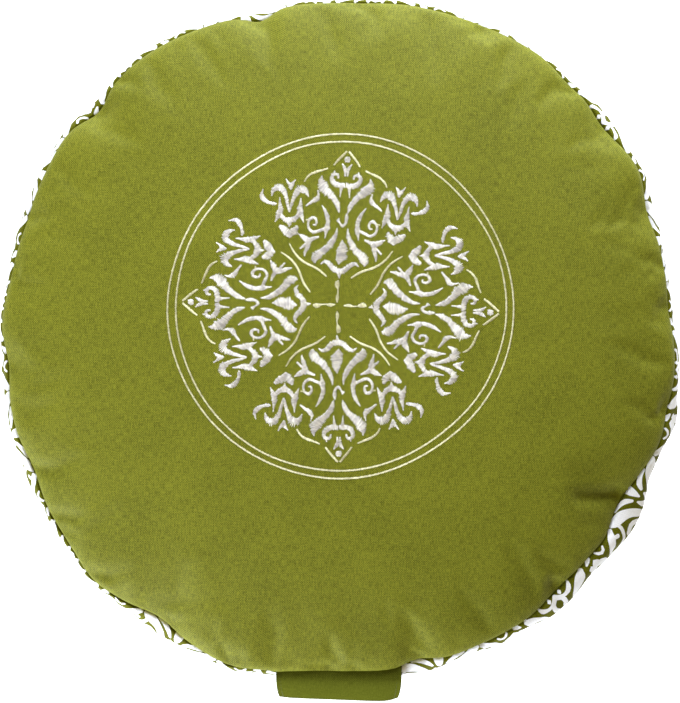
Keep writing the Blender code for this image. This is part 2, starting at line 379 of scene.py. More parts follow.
# %% Grid for the simulation
GRID_SPACING = 4 * MM
SIM_START = 96 * MM  # the crown inside this circle stays as it is
STATIONS = 2 * round(math.pi * SEAM_RADIUS / GRID_SPACING)
EASE_TOP = 0.012  # how much the cloth of the top panel grows at its seam
EASE_BAND = 0.03
EASE_REACH = 24 * MM
FILLING_PRESSURE = 4
STRETCH_STIFFNESS = 20
SHEAR_STIFFNESS = 8
BENDING_STIFFNESS = 0.5
SETTLING_QUALITY = 6
SETTLING_FRAMES = 20
MOST_SETTLED = 5 * MM
BROAD_WAVES = 8  # waves round the cushion that are too broad to be puckers
BAND_PUCKERS = 0.4  # the tight filling pulls the band smoother than the simulation does
FADE_IN = 30 * MM


def evenly(start, end):
    """Ways from start to end about a grid spacing apart."""
    return np.linspace(start, end, max(round((end - start) / GRID_SPACING), 1) + 1)


SIM_WAYS = np.concatenate(
    [evenly(SIM_START, TOP_WAY), evenly(TOP_WAY, BOTTOM_WAY)[1:], evenly(BOTTOM_WAY, REST_WAY)[1:]]
)
SIM_ANGLES = np.arange(STATIONS) * 360 / STATIONS
print("simulation grid:", len(SIM_WAYS), "rows of", STATIONS)


def ring_faces(rows, columns):
    """The quads of a grid whose columns run right round."""
    index = np.arange(rows * columns).reshape(rows, columns)
    beside = np.roll(index, -1, axis=1)
    return np.stack([index[:-1], index[1:], beside[1:], beside[:-1]], axis=-1).reshape(-1, 4)


def new_object(name, points, faces):
    """A smooth shaded object from arrays or lists of points and faces."""
    mesh = bpy.data.meshes.new(name)
    faces = faces.tolist() if isinstance(faces, np.ndarray) else faces
    mesh.from_pydata(points.reshape(-1, 3).tolist(), [], faces)
    mesh.shade_smooth()
    obj = bpy.data.objects.new(name, mesh)
    bpy.context.scene.collection.objects.link(obj)
    return obj


# %% Simulate
def settled():
    """How far the simulation moves each grid point."""
    rows = len(SIM_WAYS)
    start = sculpted(SIM_WAYS[:, None], SIM_ANGLES[None, :])
    cloth = new_object("settling_cloth", start, ring_faces(rows, STATIONS))
    seams = [int(np.argmin(np.abs(SIM_WAYS - way))) for way in (TOP_WAY, BOTTOM_WAY)]
    sewn = cloth.vertex_groups.new(name="sewn")
    taut = cloth.vertex_groups.new(name="taut")
    for row, way in enumerate(SIM_WAYS):
        members = range(row * STATIONS, (row + 1) * STATIONS)
        if row in (0, *seams, rows - 1):
            sewn.add(list(members), 1, "REPLACE")
        spare = nearness(min(abs(way - TOP_WAY), abs(way - BOTTOM_WAY)), EASE_REACH)
        spare *= EASE_TOP / EASE_BAND if way < TOP_WAY else 1
        taut.add(list(members), 1 - float(spare), "REPLACE")
    settling = cloth.modifiers.new("settling", "CLOTH")
    setup = settling.settings
    setup.quality = SETTLING_QUALITY
    setup.tension_stiffness = STRETCH_STIFFNESS
    setup.compression_stiffness = STRETCH_STIFFNESS
    setup.shear_stiffness = SHEAR_STIFFNESS
    setup.bending_stiffness = BENDING_STIFFNESS
    setup.use_pressure = True
    setup.uniform_pressure_force = FILLING_PRESSURE
    setup.vertex_group_mass = "sewn"
    setup.vertex_group_shrink = "taut"
    setup.shrink_min = -EASE_BAND
    setup.shrink_max = 0
    setup.effector_weights.gravity = 0
    for step in range(1, SETTLING_FRAMES + 1):
        bpy.context.scene.frame_set(step)
    evaluated = cloth.evaluated_get(bpy.context.evaluated_depsgraph_get())
    end = np.empty(start.size)
    evaluated.data.vertices.foreach_get("co", end)
    bpy.context.scene.frame_set(1)
    bpy.data.objects.remove(cloth)
    moved = end.reshape(start.shape) - start
    far = np.linalg.norm(moved, axis=-1, keepdims=True)
    moved *= np.minimum(1, MOST_SETTLED / np.maximum(far, MM / 1000))
    broad = np.fft.rfft(moved, axis=1)
    broad[:, BROAD_WAVES + 1 :] = 0
    moved -= np.fft.irfft(broad, STATIONS, axis=1)
    moved[SIM_WAYS > TOP_WAY] *= BAND_PUCKERS
    fade = np.clip((SIM_WAYS - SIM_START) / FADE_IN, 0, 1)
    puckered = np.linalg.norm(moved, axis=-1).max()
    print("cloth settled by up to", round(far.max() / MM, 1), "mm, puckers", round(puckered / MM, 1), "mm")
    return moved * eased(fade)[:, None, None]


MOVED = settled()

# %% [markdown]
# ## One surface for every piece
#
# The panels, the print, the strap and the embroidery all lie on this one settled surface. So it is
# read by one function, which blends smoothly between the points of the grid. The side that the cloth
# faces comes from the same function, from two small steps along and across.

# %% Read the surface anywhere


def blend_weights(share):
    """How much each of four neighbours counts, a share of the way from the second to the third."""
    return (
        (-share + 2 * share**2 - share**3) / 2,
        (2 - 5 * share**2 + 3 * share**3) / 2,
        (share + 4 * share**2 - 3 * share**3) / 2,
        (share**3 - share**2) / 2,
    )


def moved_at(way, angle):
    """What the simulation moved a point of the cover."""
    row = np.interp(way, SIM_WAYS, np.arange(len(SIM_WAYS)))
    column = angle % 360 / 360 * STATIONS
    first_row = np.minimum(row.astype(int), len(SIM_WAYS) - 2)
    first_column = column.astype(int)
    total = 0
    for row_step, row_weight in enumerate(blend_weights(row - first_row)):
        rows = np.clip(first_row + row_step - 1, 0, len(SIM_WAYS) - 1)
        for column_step, column_weight in enumerate(blend_weights(column - first_column)):
            columns = (first_column + column_step - 1) % STATIONS
            total = total + (row_weight * column_weight)[..., None] * MOVED[rows, columns]
    return total


def cover(way, angle):
    """Points of the settled cover."""
    way, angle = np.broadcast_arrays(np.asarray(way, float), np.asarray(angle, float))
    points = sculpted(way, angle) + moved_at(way, angle)
    points[..., 2] = np.maximum(points[..., 2], 0)
    return points


SMALL_STEP = 0.5 * MM
SMALL_TURN = 0.2


def facing(way, angle):
    """Which way the cover faces at a point, outwards."""
    down = cover(way + SMALL_STEP, angle) - cover(way - SMALL_STEP, angle)
    across = cover(way, angle + SMALL_TURN) - cover(way, angle - SMALL_TURN)
    normal = np.cross(down, across)
    return normal / np.linalg.norm(normal, axis=-1, keepdims=True)


print("the crown's middle lies", round(float(cover(0, 0)[2] / MM), 1), "mm above the floor")

# %% [markdown]
# ## Edges that turn into a seam
#
# Where two pieces are sewn together, each one turns inwards over about a millimetre, and the rest of its
# edge, the seam allowance, lies hidden inside. That small round turn makes the thin dark line that is seen
# along every seam, so it is modelled and not painted.

# %% Rows near a seam
EDGE_ROUND = 1.1 * MM
EDGE_GAP = 0.12 * MM
ALLOWANCE = 3 * MM
EDGE_STEPS = np.array([16, 13, 10.5, 8.5, 6.8, 5.4, 4.2, 3.2, 2.4, 1.7, 1.1, 0.8, 0.5, 0.25, 0]) * MM


def turned_in(points, normals, from_seam, past_seam=0):
    """Moves points near a seam inwards, round the turn of the edge and on down the allowance."""
    share = 1 - np.clip((from_seam - EDGE_GAP) / EDGE_ROUND, 0, 1)
    depth = EDGE_ROUND * (1 - np.sqrt(1 - share**2)) + past_seam
    return points - normals * depth[..., None]


# %% [markdown]
# ## Plain cotton
#
# The green cloth is cotton in a plain weave, piece dyed: each thread goes over one and under the next. That
# gives a matt surface with a fine grain along and across. Uneven cotton yarn has slubs, short thick
# stretches of thread, so single threads show lighter or darker for a few millimetres. The threads lie about
# 0.55 mm apart. That is about one pixel here, so the weave shows as a fine tooth. Three small functions
# colour, roughen and raise a material by such patterns.
#
# The pattern is drawn in millimetres of flat cloth, which each mesh carries as a UV map named cloth.

# %% Woven cotton
THREAD_SPACING = 0.55
FLECK_SIZE = 0.6
SLUB_LENGTH = 3.5
SLUB_THICKNESS = 0.55
MOTTLE_SIZE = 28
WEAVE_RELIEF = 0.25 * MM
PRINT_RELIEF = 0.2 * MM


def weave(tree):
    """Height of the woven threads, their slubs and the cloth's mottling, each from 0 to 1."""
    flat = add(tree, "UVMap", uv_map="cloth")
    across = add(tree, "SeparateXYZ", {0: flat}, out=0)
    along = add(tree, "SeparateXYZ", {0: flat}, out=1)
    waves = []
    for way in (across, along):
        turn = add(tree, "Math", {0: way, 1: math.pi / THREAD_SPACING}, operation="MULTIPLY")
        waves.append(add(tree, "Math", {0: turn}, operation="SINE"))
    over = add(tree, "Math", {0: waves[0], 1: waves[1]}, operation="MULTIPLY")
    height = add(tree, "MapRange", {"Value": over, "From Min": -1, "From Max": 1})
    slubs = []
    for size in ((SLUB_THICKNESS, SLUB_LENGTH, 1), (SLUB_LENGTH, SLUB_THICKNESS, 1)):
        stretched = add(tree, "VectorMath", {0: flat, 1: size}, operation="DIVIDE")
        slubs.append(add(tree, "TexNoise", {"Vector": stretched, "Scale": 1, "Detail": 2}))
    mottle = add(tree, "TexNoise", {"Vector": flat, "Scale": 1 / MOTTLE_SIZE, "Detail": 3})
    fleck = add(tree, "TexNoise", {"Vector": flat, "Scale": 1 / FLECK_SIZE, "Detail": 1})
    return height, slubs, mottle, fleck


def shade_of(tree, parts):
    """Adds up how much lighter or darker each pattern makes the cloth, around 0.5."""
    total = 0.5
    for pattern, strength in parts:
        part = add(tree, "MapRange", {"Value": pattern, "To Min": -strength, "To Max": strength}, clamp=False)
        total = add(tree, "Math", {0: part, 1: total}, operation="ADD")
    return total


def coloured(tree, shader, tone, dark, light):
    """Colours a material from dark to light, where a tone goes from 0 to 1."""
    colour = add(tree, "Mix", {0: tone, 6: linear(dark), 7: linear(light)}, out=2, data_type="RGBA")
    tree.links.new(colour, shader.inputs["Base Color"])


def roughened(tree, shader, pattern, low, high):
    """Roughness that follows a pattern from 0 to 1."""
    rough = add(tree, "MapRange", {"Value": pattern, "To Min": low, "To Max": high})
    tree.links.new(rough, shader.inputs["Roughness"])


def raised(tree, shader, pattern, strength, relief):
    """Fine relief that follows a pattern from 0 to 1."""
    bump = add(tree, "Bump", {"Height": pattern, "Strength": strength, "Distance": relief})
    tree.links.new(bump, shader.inputs["Normal"])


def woven_cotton(name, dark, light, bump, roughness, gloss):
    """A cotton cloth between two shades of its dye. The strap's and the print ground's shades are darker, as
    painted shade.
    """
    material, tree, shader = new_material(name)
    height, slubs, mottle, fleck = weave(tree)
    shade = shade_of(tree, [(height, 0.5), (slubs[0], 0.65), (slubs[1], 0.5), (mottle, 0.22), (fleck, 0.6)])
    coloured(tree, shader, shade, dark, light)
    roughened(tree, shader, height, roughness + 0.06, roughness - 0.04)
    threads = shade_of(tree, [(height, 0.5), (slubs[0], 0.5), (slubs[1], 0.3)])
    raised(tree, shader, threads, bump, WEAVE_RELIEF)
    set_inputs(shader, {"Specular IOR Level": gloss, "Sheen Weight": gloss / 10})
    set_inputs(shader, {"Sheen Roughness": 0.5, "Sheen Tint": linear("#E4E6A8")})
    return material


def printed_cotton(name, shade, light):
    """White pigment on cotton: it hides the colour of the threads, but not their grain."""
    material, tree, shader = new_material(name)
    height, slubs, mottle, fleck = weave(tree)
    tone = shade_of(tree, [(height, 0.3), (slubs[0], 0.4), (slubs[1], 0.3), (mottle, 0.3), (fleck, 0.5)])
    coloured(tree, shader, tone, shade, light)
    roughened(tree, shader, height, 0.86, 0.78)
    raised(tree, shader, height, 0.35, PRINT_RELIEF)
    set_inputs(shader, {"Specular IOR Level": 0.3})
    return material


PLAIN_COTTON = woven_cotton("plain_weave_cotton", "#484C00", "#80831F", bump=0.3, roughness=0.68, gloss=0.19)
print("plain cotton:", THREAD_SPACING, "mm between threads")

# %% [markdown]
# ## The two round panels
#
# Each panel is a round of cotton. On a polar grid its cut edge is one row of points, which makes the turn
# into the seam easy to shape. The rows lie closer together towards the seam, where the cloth turns and
# puckers most. A Solidify modifier then gives the sheet its thickness, on the inside.

# %% Panels
CLOTH_THICKNESS = 0.6 * MM
PANEL_STATIONS = 540
PANEL_SPACING = 2.5 * MM


def lay_uv(obj, flat):
    """Writes where each point lay on the flat cloth, in millimetres, as the UV map named cloth."""
    corners = np.empty(len(obj.data.loops), int)
    obj.data.loops.foreach_get("vertex_index", corners)
    layer = obj.data.uv_layers.new(name="cloth")
    layer.data.foreach_set("uv", (flat[corners] / MM).ravel())


def make_panel(name, seam_way, middle_way, node):
    """A round panel from its middle to its seam, with the edge turned in."""
    towards = 1 if seam_way > middle_way else -1
    radius = abs(seam_way - middle_way)
    inner = np.arange(1, int((radius - EDGE_STEPS[0]) / PANEL_SPACING)) * PANEL_SPACING
    from_middle = np.concatenate([inner, radius - EDGE_STEPS, [radius, radius]])
    past = np.concatenate([np.zeros(len(from_middle) - 2), [ALLOWANCE / 2, ALLOWANCE]])
    angles = np.arange(PANEL_STATIONS) * 360 / PANEL_STATIONS
    way = np.broadcast_to((middle_way + towards * from_middle)[:, None], (len(from_middle), PANEL_STATIONS))
    angle = np.broadcast_to(angles[None, :], way.shape)
    depth = np.broadcast_to(past[:, None], way.shape)
    points = turned_in(cover(way, angle), facing(way, angle), np.abs(seam_way - way), depth)
    middle = cover(middle_way, 0)[None]
    rows = ring_faces(len(from_middle), PANEL_STATIONS) + 1
    fan = [(0, 1 + k, 1 + (k + 1) % PANEL_STATIONS) for k in range(PANEL_STATIONS)]
    faces = fan + [tuple(face) for face in rows.tolist()]
    if towards < 0:
        faces = [face[::-1] for face in faces]
    panel = new_object(name, np.concatenate([middle, points.reshape(-1, 3)]), faces)
    turn = np.radians(angle)
    flat = np.stack([from_middle[:, None] * np.cos(turn), from_middle[:, None] * np.sin(turn)], axis=-1)
    lay_uv(panel, np.concatenate([[[0, 0]], flat.reshape(-1, 2)]))
    panel.data.materials.append(PLAIN_COTTON)
    thickness = panel.modifiers.new("thickness", "SOLIDIFY")
    thickness.thickness = CLOTH_THICKNESS
    thickness.offset = -1
    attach(panel, "root")
    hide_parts(node)
    cut = 2 * (radius + ALLOWANCE)
    print(name, "cut from a round of", round(cut / MM), "mm,", len(faces), "faces")
    return panel, cut


top_panel, top_cut = make_panel("top_cover", TOP_WAY, 0, "top_panel")
bottom_panel, bottom_cut = make_panel("underside_cover", BOTTOM_WAY, END_WAY, "bottom_panel")

# %% [markdown]
# ## Drawing with strokes
#
# Both the print and the embroidery are ornaments of leaves, blades and scrolls. Each shape in them is written
# as a stroke: a few points in millimetres, each with the width that the shape has there. A smooth curve runs
# through the points. For the print, the stroke's outline is filled. For the embroidery, the needle goes from
# one side of the stroke to the other. The ornaments here were drawn in this way, as new drawings in the
# traditional manner of damask and arabesque.

# %% Smooth strokes
CURVE_STEPS = 6


def smooth(stroke):
    """A curve through a stroke's points, as rows of x, y and width."""
    points = np.array(stroke, float)
    points = np.vstack([2 * points[0] - points[1], points, 2 * points[-1] - points[-2]])
    share = np.linspace(0, 1, CURVE_STEPS, endpoint=False)[:, None]
    weights = blend_weights(share)
    spans = [
        sum(weight * points[first + place] for place, weight in enumerate(weights))
        for first in range(len(points) - 3)
    ]
    return np.vstack([*spans, points[-2:-1]])


def spaced(curve, spacing):
    """The same curve with its points evenly spaced."""
    travelled = lengths_along(curve[:, :2])
    places = np.linspace(0, travelled[-1], max(round(travelled[-1] / spacing), 2) + 1)
    return read_along(places, travelled, curve.T)


def sideways(curve):
    """The direction to the left of a curve at each of its points."""
    ahead = np.gradient(curve[:, :2], axis=0)
    ahead /= np.maximum(np.linalg.norm(ahead, axis=1, keepdims=True), 1e-9)
    return np.stack([-ahead[:, 1], ahead[:, 0]], axis=-1)


# %% [markdown]
# ## The printed band
#
# The side band is the same green cotton with a white pigment print. Pigment sits on top of the threads and
# hides their colour, but not their grain. The printed cloth has a large mirrored design, a common damask, in
# which leaves and scrolls cover most of the ground and leave thin green lines between them.
#
# Half of one motif is drawn, to the right of its mirror line, in millimetres with y up the cloth. The
# white shapes come first and then the green lines that are left open in them.

# %% The print's white shapes
PRINTED = {
    "tip_leaf": [(0, 55, 0.5), (0, 50, 5), (0, 45, 8), (0, 40, 4), (0, 38, 0.5)],
    "tip_blade": [(4, 54, 0.6), (7, 48, 5), (7.4, 42, 6.4), (5, 36, 4.4), (3, 32.4, 0.6)],
    "heart_leaf": [(0, 34, 0.6), (0, 28, 6), (0, 21, 10), (0, 15, 7), (0, 11, 0.8)],
    "inner_petal": [(4, 8, 1), (7.6, 14, 4.6), (9.6, 22, 6.6), (9, 30, 6), (12.4, 37, 5), (17.4, 40, 1)],
    "middle_petal": [
        (7, 5, 1.4), (13.6, 10, 5.6), (18.2, 18, 8), (18.4, 27, 7.4), (23, 33, 6), (28, 33.6, 1),
    ],
    "scallop_a": [(21, 15, 4), (24, 17, 4.6), (26, 20, 2)],
    "scallop_b": [(22, 22, 4), (25, 24, 4.6), (27, 27, 2)],
    "outer_petal": [
        (10, 1.4, 1.4), (19, 3.6, 5.6), (27.6, 9, 7.4), (33, 17, 6.6), (38, 22, 5), (43, 21, 1),
    ],
    "scallop_c": [(30, 6, 4), (34, 7.6, 4.6), (37, 10.6, 2)],
    "scallop_d": [(34.6, 12.4, 3.4), (38.2, 13.6, 4), (41, 16.4, 1.6)],
    "volute": [
        (3, 1.4, 1), (6, -3, 4), (11, -6.6, 5), (17.4, -6.4, 4.6), (20.6, -10.4, 4), (17, -14.6, 3.4),
        (12.6, -12.4, 2.4),
    ],
    "eye": [(0, 5.6, 1), (0, 1, 6.4), (0, -5, 9), (0, -11, 6), (0, -15.4, 1)],
    "sweep": [(24, -3.6, 1), (30, -6.4, 5), (38, -5.6, 7), (46, -0.6, 7), (53, 5.4, 5), (60, 7.4, 1)],
    "sweep_leaf": [(41, 5.4, 1), (46.6, 9.6, 4.4), (52.6, 15.4, 4), (55, 20.6, 0.8)],
    "under_sweep": [
        (22, -17.6, 1), (27.6, -15.4, 4.6), (36, -14.6, 6.4), (45, -10.4, 6), (53, -4.6, 4),
        (58, -2.6, 0.8),
    ],
    "lower_leaf": [
        (3, -18, 1), (8.6, -20.4, 5.6), (17, -24.6, 7.6), (27, -24.4, 7), (35, -21.6, 4.4),
        (41, -20.6, 0.8),
    ],
    "lower_scallop_a": [(15, -27.6, 4), (17.4, -31, 4.4), (20.6, -33, 1.6)],
    "lower_scallop_b": [(23, -27.6, 4), (26, -30.4, 4), (29.4, -31.6, 1.4)],
    "stem_leaf": [(0, -18.4, 1), (0, -24, 5), (0, -30, 6.6), (0, -36, 3.4), (0, -40, 0.6)],
    "foot_blade": [(5.6, -26, 1), (9, -32, 5), (10.4, -39, 6), (7.4, -45.6, 4.6), (3, -50, 0.8)],
    "foot_curl": [(13.6, -36.6, 0.8), (15.4, -41, 3), (13.4, -46, 2.4), (9, -50.4, 0.6)],
    "foot_drop": [(0, -44, 0.6), (0, -48, 4), (0, -52, 4.4), (0, -56, 1)],
    "bead_a": [(13.6, 44, 1), (14.8, 45.4, 2.6), (16, 46.6, 1)],
    "bead_b": [(31.6, 27, 1), (33, 28, 2.8), (34.6, 28.6, 1)],
    "bead_c": [(46.4, 25, 1), (47.6, 24.4, 2.6), (48.8, 23.6, 1)],
    "bead_d": [(33.4, 0.6, 1), (35, 1.2, 2.4), (36.4, 1.8, 1)],
    "bead_e": [(21.4, -37.6, 1), (22.6, -38.6, 2.6), (23.4, -40, 1)],
}

# %% The green lines left open in the white
LEFT_OPEN = {
    "heart_vein": [(0, 31, 0.6), (0, 24, 1.6), (0, 17, 0.8)],
    "eye_middle": [(0, 0.6, 0.6), (0, -4.6, 3.4), (0, -9.6, 0.6)],
    "tip_vein": [(0, 52, 0.4), (0, 46, 1.2), (0, 41, 0.5)],
    "inner_vein": [(7.4, 12.6, 0.4), (9.4, 20, 1.2), (9.4, 27, 0.4)],
    "middle_vein": [(12, 8.6, 0.4), (17, 16, 1.4), (18.2, 24, 0.5)],
    "outer_vein": [(17, 3, 0.4), (26, 8, 1.4), (31.6, 15, 0.5)],
    "sweep_vein": [(29, -6, 0.4), (38, -5, 1.3), (47, 0.6, 0.5)],
    "lower_vein": [(7, -20, 0.4), (16, -23.8, 1.4), (27, -24, 0.5)],
    "stem_vein": [(0, -21, 0.4), (0, -28, 1.2), (0, -34, 0.5)],
}
print("half a motif:", len(PRINTED), "white shapes and", len(LEFT_OPEN), "green lines")

# %% The same print where the top seam cuts it
# Next to the top seam the band shows from above, so the cut motif is drawn once more for that place, in
# millimetres to the right of the mirror line and down from the seam.
SEAM_ZONE = 15  # shapes of the motif that come nearer to the seam give way to the drawing below
AT_THE_SEAM = {
    "dot": [(3.4, 0.7, 1.2), (3.4, 1.4, 2.1), (3.4, 2.1, 1.2)],
    "cup": [
        (9.6, 0.6, 1.2), (8.6, 2.6, 2.4), (6.8, 4.3, 2.6), (4.2, 4.6, 2.2), (1.8, 3.4, 2.2),
        (0, 1.4, 1.8),
    ],
    "eye_side": [(0.8, 3, 2.4), (2.9, 5.2, 2.4), (3.2, 7.8, 2.4), (2.5, 10.4, 2.6), (0, 12, 3.4)],
    "eye_foot": [(0, 11, 6), (0, 14.6, 6), (0, 19, 4), (0, 23, 0.8)],
    "blade": [
        (17.8, 1.3, 2.6), (16.2, 2.9, 5), (13.6, 5.2, 5.4), (10.6, 8.2, 4.2), (8.4, 12, 3),
        (7.6, 17, 2.4), (8.4, 22, 0.8),
    ],
    "tick": [(21.6, 1.7, 1.2), (23, 0.9, 2), (24.4, 0.4, 1.4)],
    "flower": [
        (21.6, 12, 2), (22.6, 8, 4.4), (25.2, 6.6, 5.4), (28.4, 8.4, 5), (28.6, 13, 3), (26.4, 17, 1),
    ],
    "flower_lobe_a": [(21.4, 5.2, 1.6), (22.4, 4.7, 2.4), (23.2, 5.6, 1.6)],
    "flower_lobe_b": [(24.6, 4.4, 2), (25.6, 3.6, 2.6), (26.6, 4.4, 2)],
    "crescent": [(28.6, 0.7, 1), (30, 2.6, 1.7), (31.8, 3.2, 1.7), (33.4, 1.2, 1)],
    "leaf": [
        (41.6, 0.9, 2.2), (39.4, 2.6, 4), (37.2, 5, 3.8), (35.2, 7.6, 3.6), (33.4, 11, 2.4),
        (32.6, 15, 0.8),
    ],
    "leaf_lobe": [(40.2, 4, 1.8), (42, 5.6, 2)],
    "curl": [
        (45.8, 2.6, 1.2), (46.2, 5.2, 1.8), (45, 8, 2), (42.4, 10.8, 1.8), (39, 13.4, 1.6),
        (36.4, 17, 0.8),
    ],
    "long_blade": [
        (43.8, 0.5, 1.6), (46.4, 2, 4.2), (49.8, 3.4, 5), (53, 5.8, 4.4), (55.4, 9, 4), (57, 13.4, 3.4),
        (57.4, 18, 1),
    ],
    "under_blade": [(46.2, 11.4, 2.6), (50.2, 10.8, 2.8), (53, 14, 2.4), (53.6, 19, 1)],
    "seam_sliver": [(50.6, 0.2, 0.8), (54.6, 0.9, 1.8), (57.8, 2.4, 2.6), (59.6, 5, 1.6)],
    "middle_arrow": [(63.2, 0.3, 4.6), (63.2, 3, 3.4), (63.2, 6.6, 1)],
    "middle_blade": [(60.6, 8, 1), (61.2, 11.4, 3), (63.2, 15.6, 4.4), (63.2, 20, 1)],
}
OPEN_AT_THE_SEAM = {
    "eye_hole": [(0, 6, 3), (0, 7.8, 4), (0, 9.6, 2.4)],
    "flower_line": [(25, 8, 0.8), (25.6, 11, 1.4), (25, 14.6, 0.6)],
}
print("at the seam:", len(AT_THE_SEAM), "white shapes and", len(OPEN_AT_THE_SEAM), "green lines")

# %% [markdown]
# The outlines are cut into the mesh itself. Blender's Delaunay function fills a flat region with triangles
# that keep to given lines, so each triangle is either all print or all ground, and the edge of the print is
# as sharp as the drawing. Only the cloth between two mirror lines is triangulated. It is then mirrored and
# repeated round the band, where its edges meet exactly.

# %% Triangulate one half repeat, in millimetres of flat cloth
CELLS_ROUND = 16
BAND_ROUND = 2 * math.pi * SEAM_RADIUS / MM
CELL = BAND_ROUND / CELLS_ROUND
HALF_MOTIF = 63.25  # as drawn, before it is fitted to a whole number of cells
REPEAT = 115
PRINT_START = 57
BAND_TALL = (BOTTOM_WAY - TOP_WAY) / MM
OUTLINE_SPACING = 1.6
GROUND_SPACING = 4.2
ROUND_END = np.radians([60, 30, 0, -30, -60])
LEAST_LINE = 0.3  # no stroke is drawn thinner than this
MOTIF_PLACES = ((0, 0), (0, 1), (0, 2), (1, 0.5), (1, 1.5), (1, -0.5), (0, -1))  # mirror line and repeats up
SEAM_ROWS = np.array([0, 0.25, 0.5, 0.8, 1.2, 1.8, 2.6, 3.8, 5.4])
SEAM_MARGIN = 8
MERGE_DIGITS = 3
NO_WRAP = 1e6  # further than any place lies down the band


def outline(stroke):
    """The closed outline of a stroke, with round ends."""
    curve = spaced(smooth(stroke), OUTLINE_SPACING)
    side = sideways(curve)
    half = np.maximum(curve[:, 2:], LEAST_LINE) / 2
    left = curve[:, :2] + side * half
    right = curve[:, :2] - side * half

    def end(place, outwards):
        """The round end at the first or the last point of the curve."""
        ahead = np.array([side[place, 1], -side[place, 0]]) * outwards
        across = side[place] * outwards
        return [
            curve[place, :2] + half[place] * (ahead * math.cos(turn) + across * math.sin(turn))
            for turn in ROUND_END
        ]

    return np.vstack([left, end(-1, 1), right[::-1], end(0, -1)])


def shapes_of(table):
    """Every outline of a table that reaches into the half repeat, in x and in y down the band."""
    found = []
    for stroke in table.values():
        for mirror_line, lift in MOTIF_PLACES:
            for side in (1, -1):
                shape = outline(stroke) * (side * CELL / HALF_MOTIF, 1)
                shape = shape + (mirror_line * CELL, lift * REPEAT)
                shape[:, 1] = PRINT_START + REPEAT - shape[:, 1]
                inside = ((shape > 0) & (shape < (CELL, BAND_TALL))).all(axis=1)
                if inside.any() and shape[:, 1].min() > SEAM_ZONE:
                    found.append(shape)
    return found


def seam_shapes(table):
    """The outlines of a table that is drawn at the top seam."""
    found = []
    for stroke in table.values():
        for mirror_line, side in ((0, 1), (0, -1), (2, -1)):
            found.append(outline(stroke) * (side * CELL / HALF_MOTIF, 1) + (mirror_line * CELL, 0))
    return found


def covers(shape, points):
    """Which points a closed outline goes round."""
    x, y = points[:, :1], points[:, 1:]
    x1, y1 = shape.T
    x2, y2 = np.roll(shape, -1, axis=0).T
    leftness = (x2 - x1) * (y - y1) - (x - x1) * (y2 - y1)
    up = (y1 <= y) & (y2 > y) & (leftness > 0)
    down = (y1 > y) & (y2 <= y) & (leftness < 0)
    return up.sum(axis=1) != down.sum(axis=1)


def half_repeat():
    """Flat points, triangles and a print flag for the cloth between two mirror lines."""
    white = shapes_of(PRINTED) + seam_shapes(AT_THE_SEAM)
    green = shapes_of(LEFT_OPEN) + seam_shapes(OPEN_AT_THE_SEAM)
    middle = np.arange(SEAM_MARGIN, BAND_TALL - SEAM_MARGIN, GROUND_SPACING)
    rows = np.concatenate([SEAM_ROWS, middle, BAND_TALL - SEAM_ROWS[::-1]])
    columns = np.linspace(0, CELL, round(CELL / GROUND_SPACING) + 1)
    ground = np.stack(np.meshgrid(columns, rows), axis=-1).reshape(-1, 2)
    border = [(0, 0), (CELL, 0), (CELL, BAND_TALL), (0, BAND_TALL)]
    points = [tuple(place) for place in ground]
    edges = []
    for loop in [np.array(border), *white, *green]:
        first = len(points)
        points += [tuple(place) for place in loop]
        edges += [(first + k, first + (k + 1) % len(loop)) for k in range(len(loop))]
    flat, _, triangles, *_ = geometry.delaunay_2d_cdt([Vector(p) for p in points], edges, [], 0, 1e-4)
    flat = np.array(flat)
    triangles = np.array(triangles)
    middles = flat[triangles].mean(axis=1)
    kept = (middles > 0).all(axis=1) & (middles < (CELL, BAND_TALL)).all(axis=1)
    triangles, middles = triangles[kept], middles[kept]
    printed = np.zeros(len(triangles), bool)
    for shape in white:
        printed |= covers(shape, middles)
    for shape in green:
        printed &= ~covers(shape, middles)
    return flat, triangles, printed


def whole_print():
    """The half repeat mirrored and repeated round the band, with the copies' common points merged."""
    flat, triangles, printed = half_repeat()
    copies = []
    for cell in range(CELLS_ROUND):
        x = flat[:, 0] + cell * CELL if cell % 2 == 0 else (cell + 1) * CELL - flat[:, 0]
        copies.append(np.stack([x % BAND_ROUND, flat[:, 1]], axis=-1))
    places = np.round(np.concatenate(copies), MERGE_DIGITS) % (round(BAND_ROUND, MERGE_DIGITS), NO_WRAP)
    merged, index = np.unique(places, axis=0, return_inverse=True)
    faces = []
    for cell in range(CELLS_ROUND):
        turned = triangles if cell % 2 == 0 else triangles[:, ::-1]
        faces.append(index.ravel()[turned + cell * len(flat)])
    return merged, np.concatenate(faces), np.tile(printed, CELLS_ROUND)


# %% [markdown]
# The printed cloth is mapped onto the settled surface. The band's two edges turn into the seams, and from
# there the piece closes over the filling, out of sight under both panels, so it is one closed, filled form
# as in the CAD model.

# %% Keep the print's true length where the band leans
BAND_COLUMNS = 720
FINE_DEPTH = 16  # the cloth that the camera sees is measured in finer steps
FINE_STEP = 0.25
COARSE_STEPS = 60
FINE_STEPS = np.arange(0, FINE_DEPTH, FINE_STEP)
BAND_STEPS = np.concatenate([FINE_STEPS, np.linspace(FINE_DEPTH, BAND_TALL, COARSE_STEPS)])


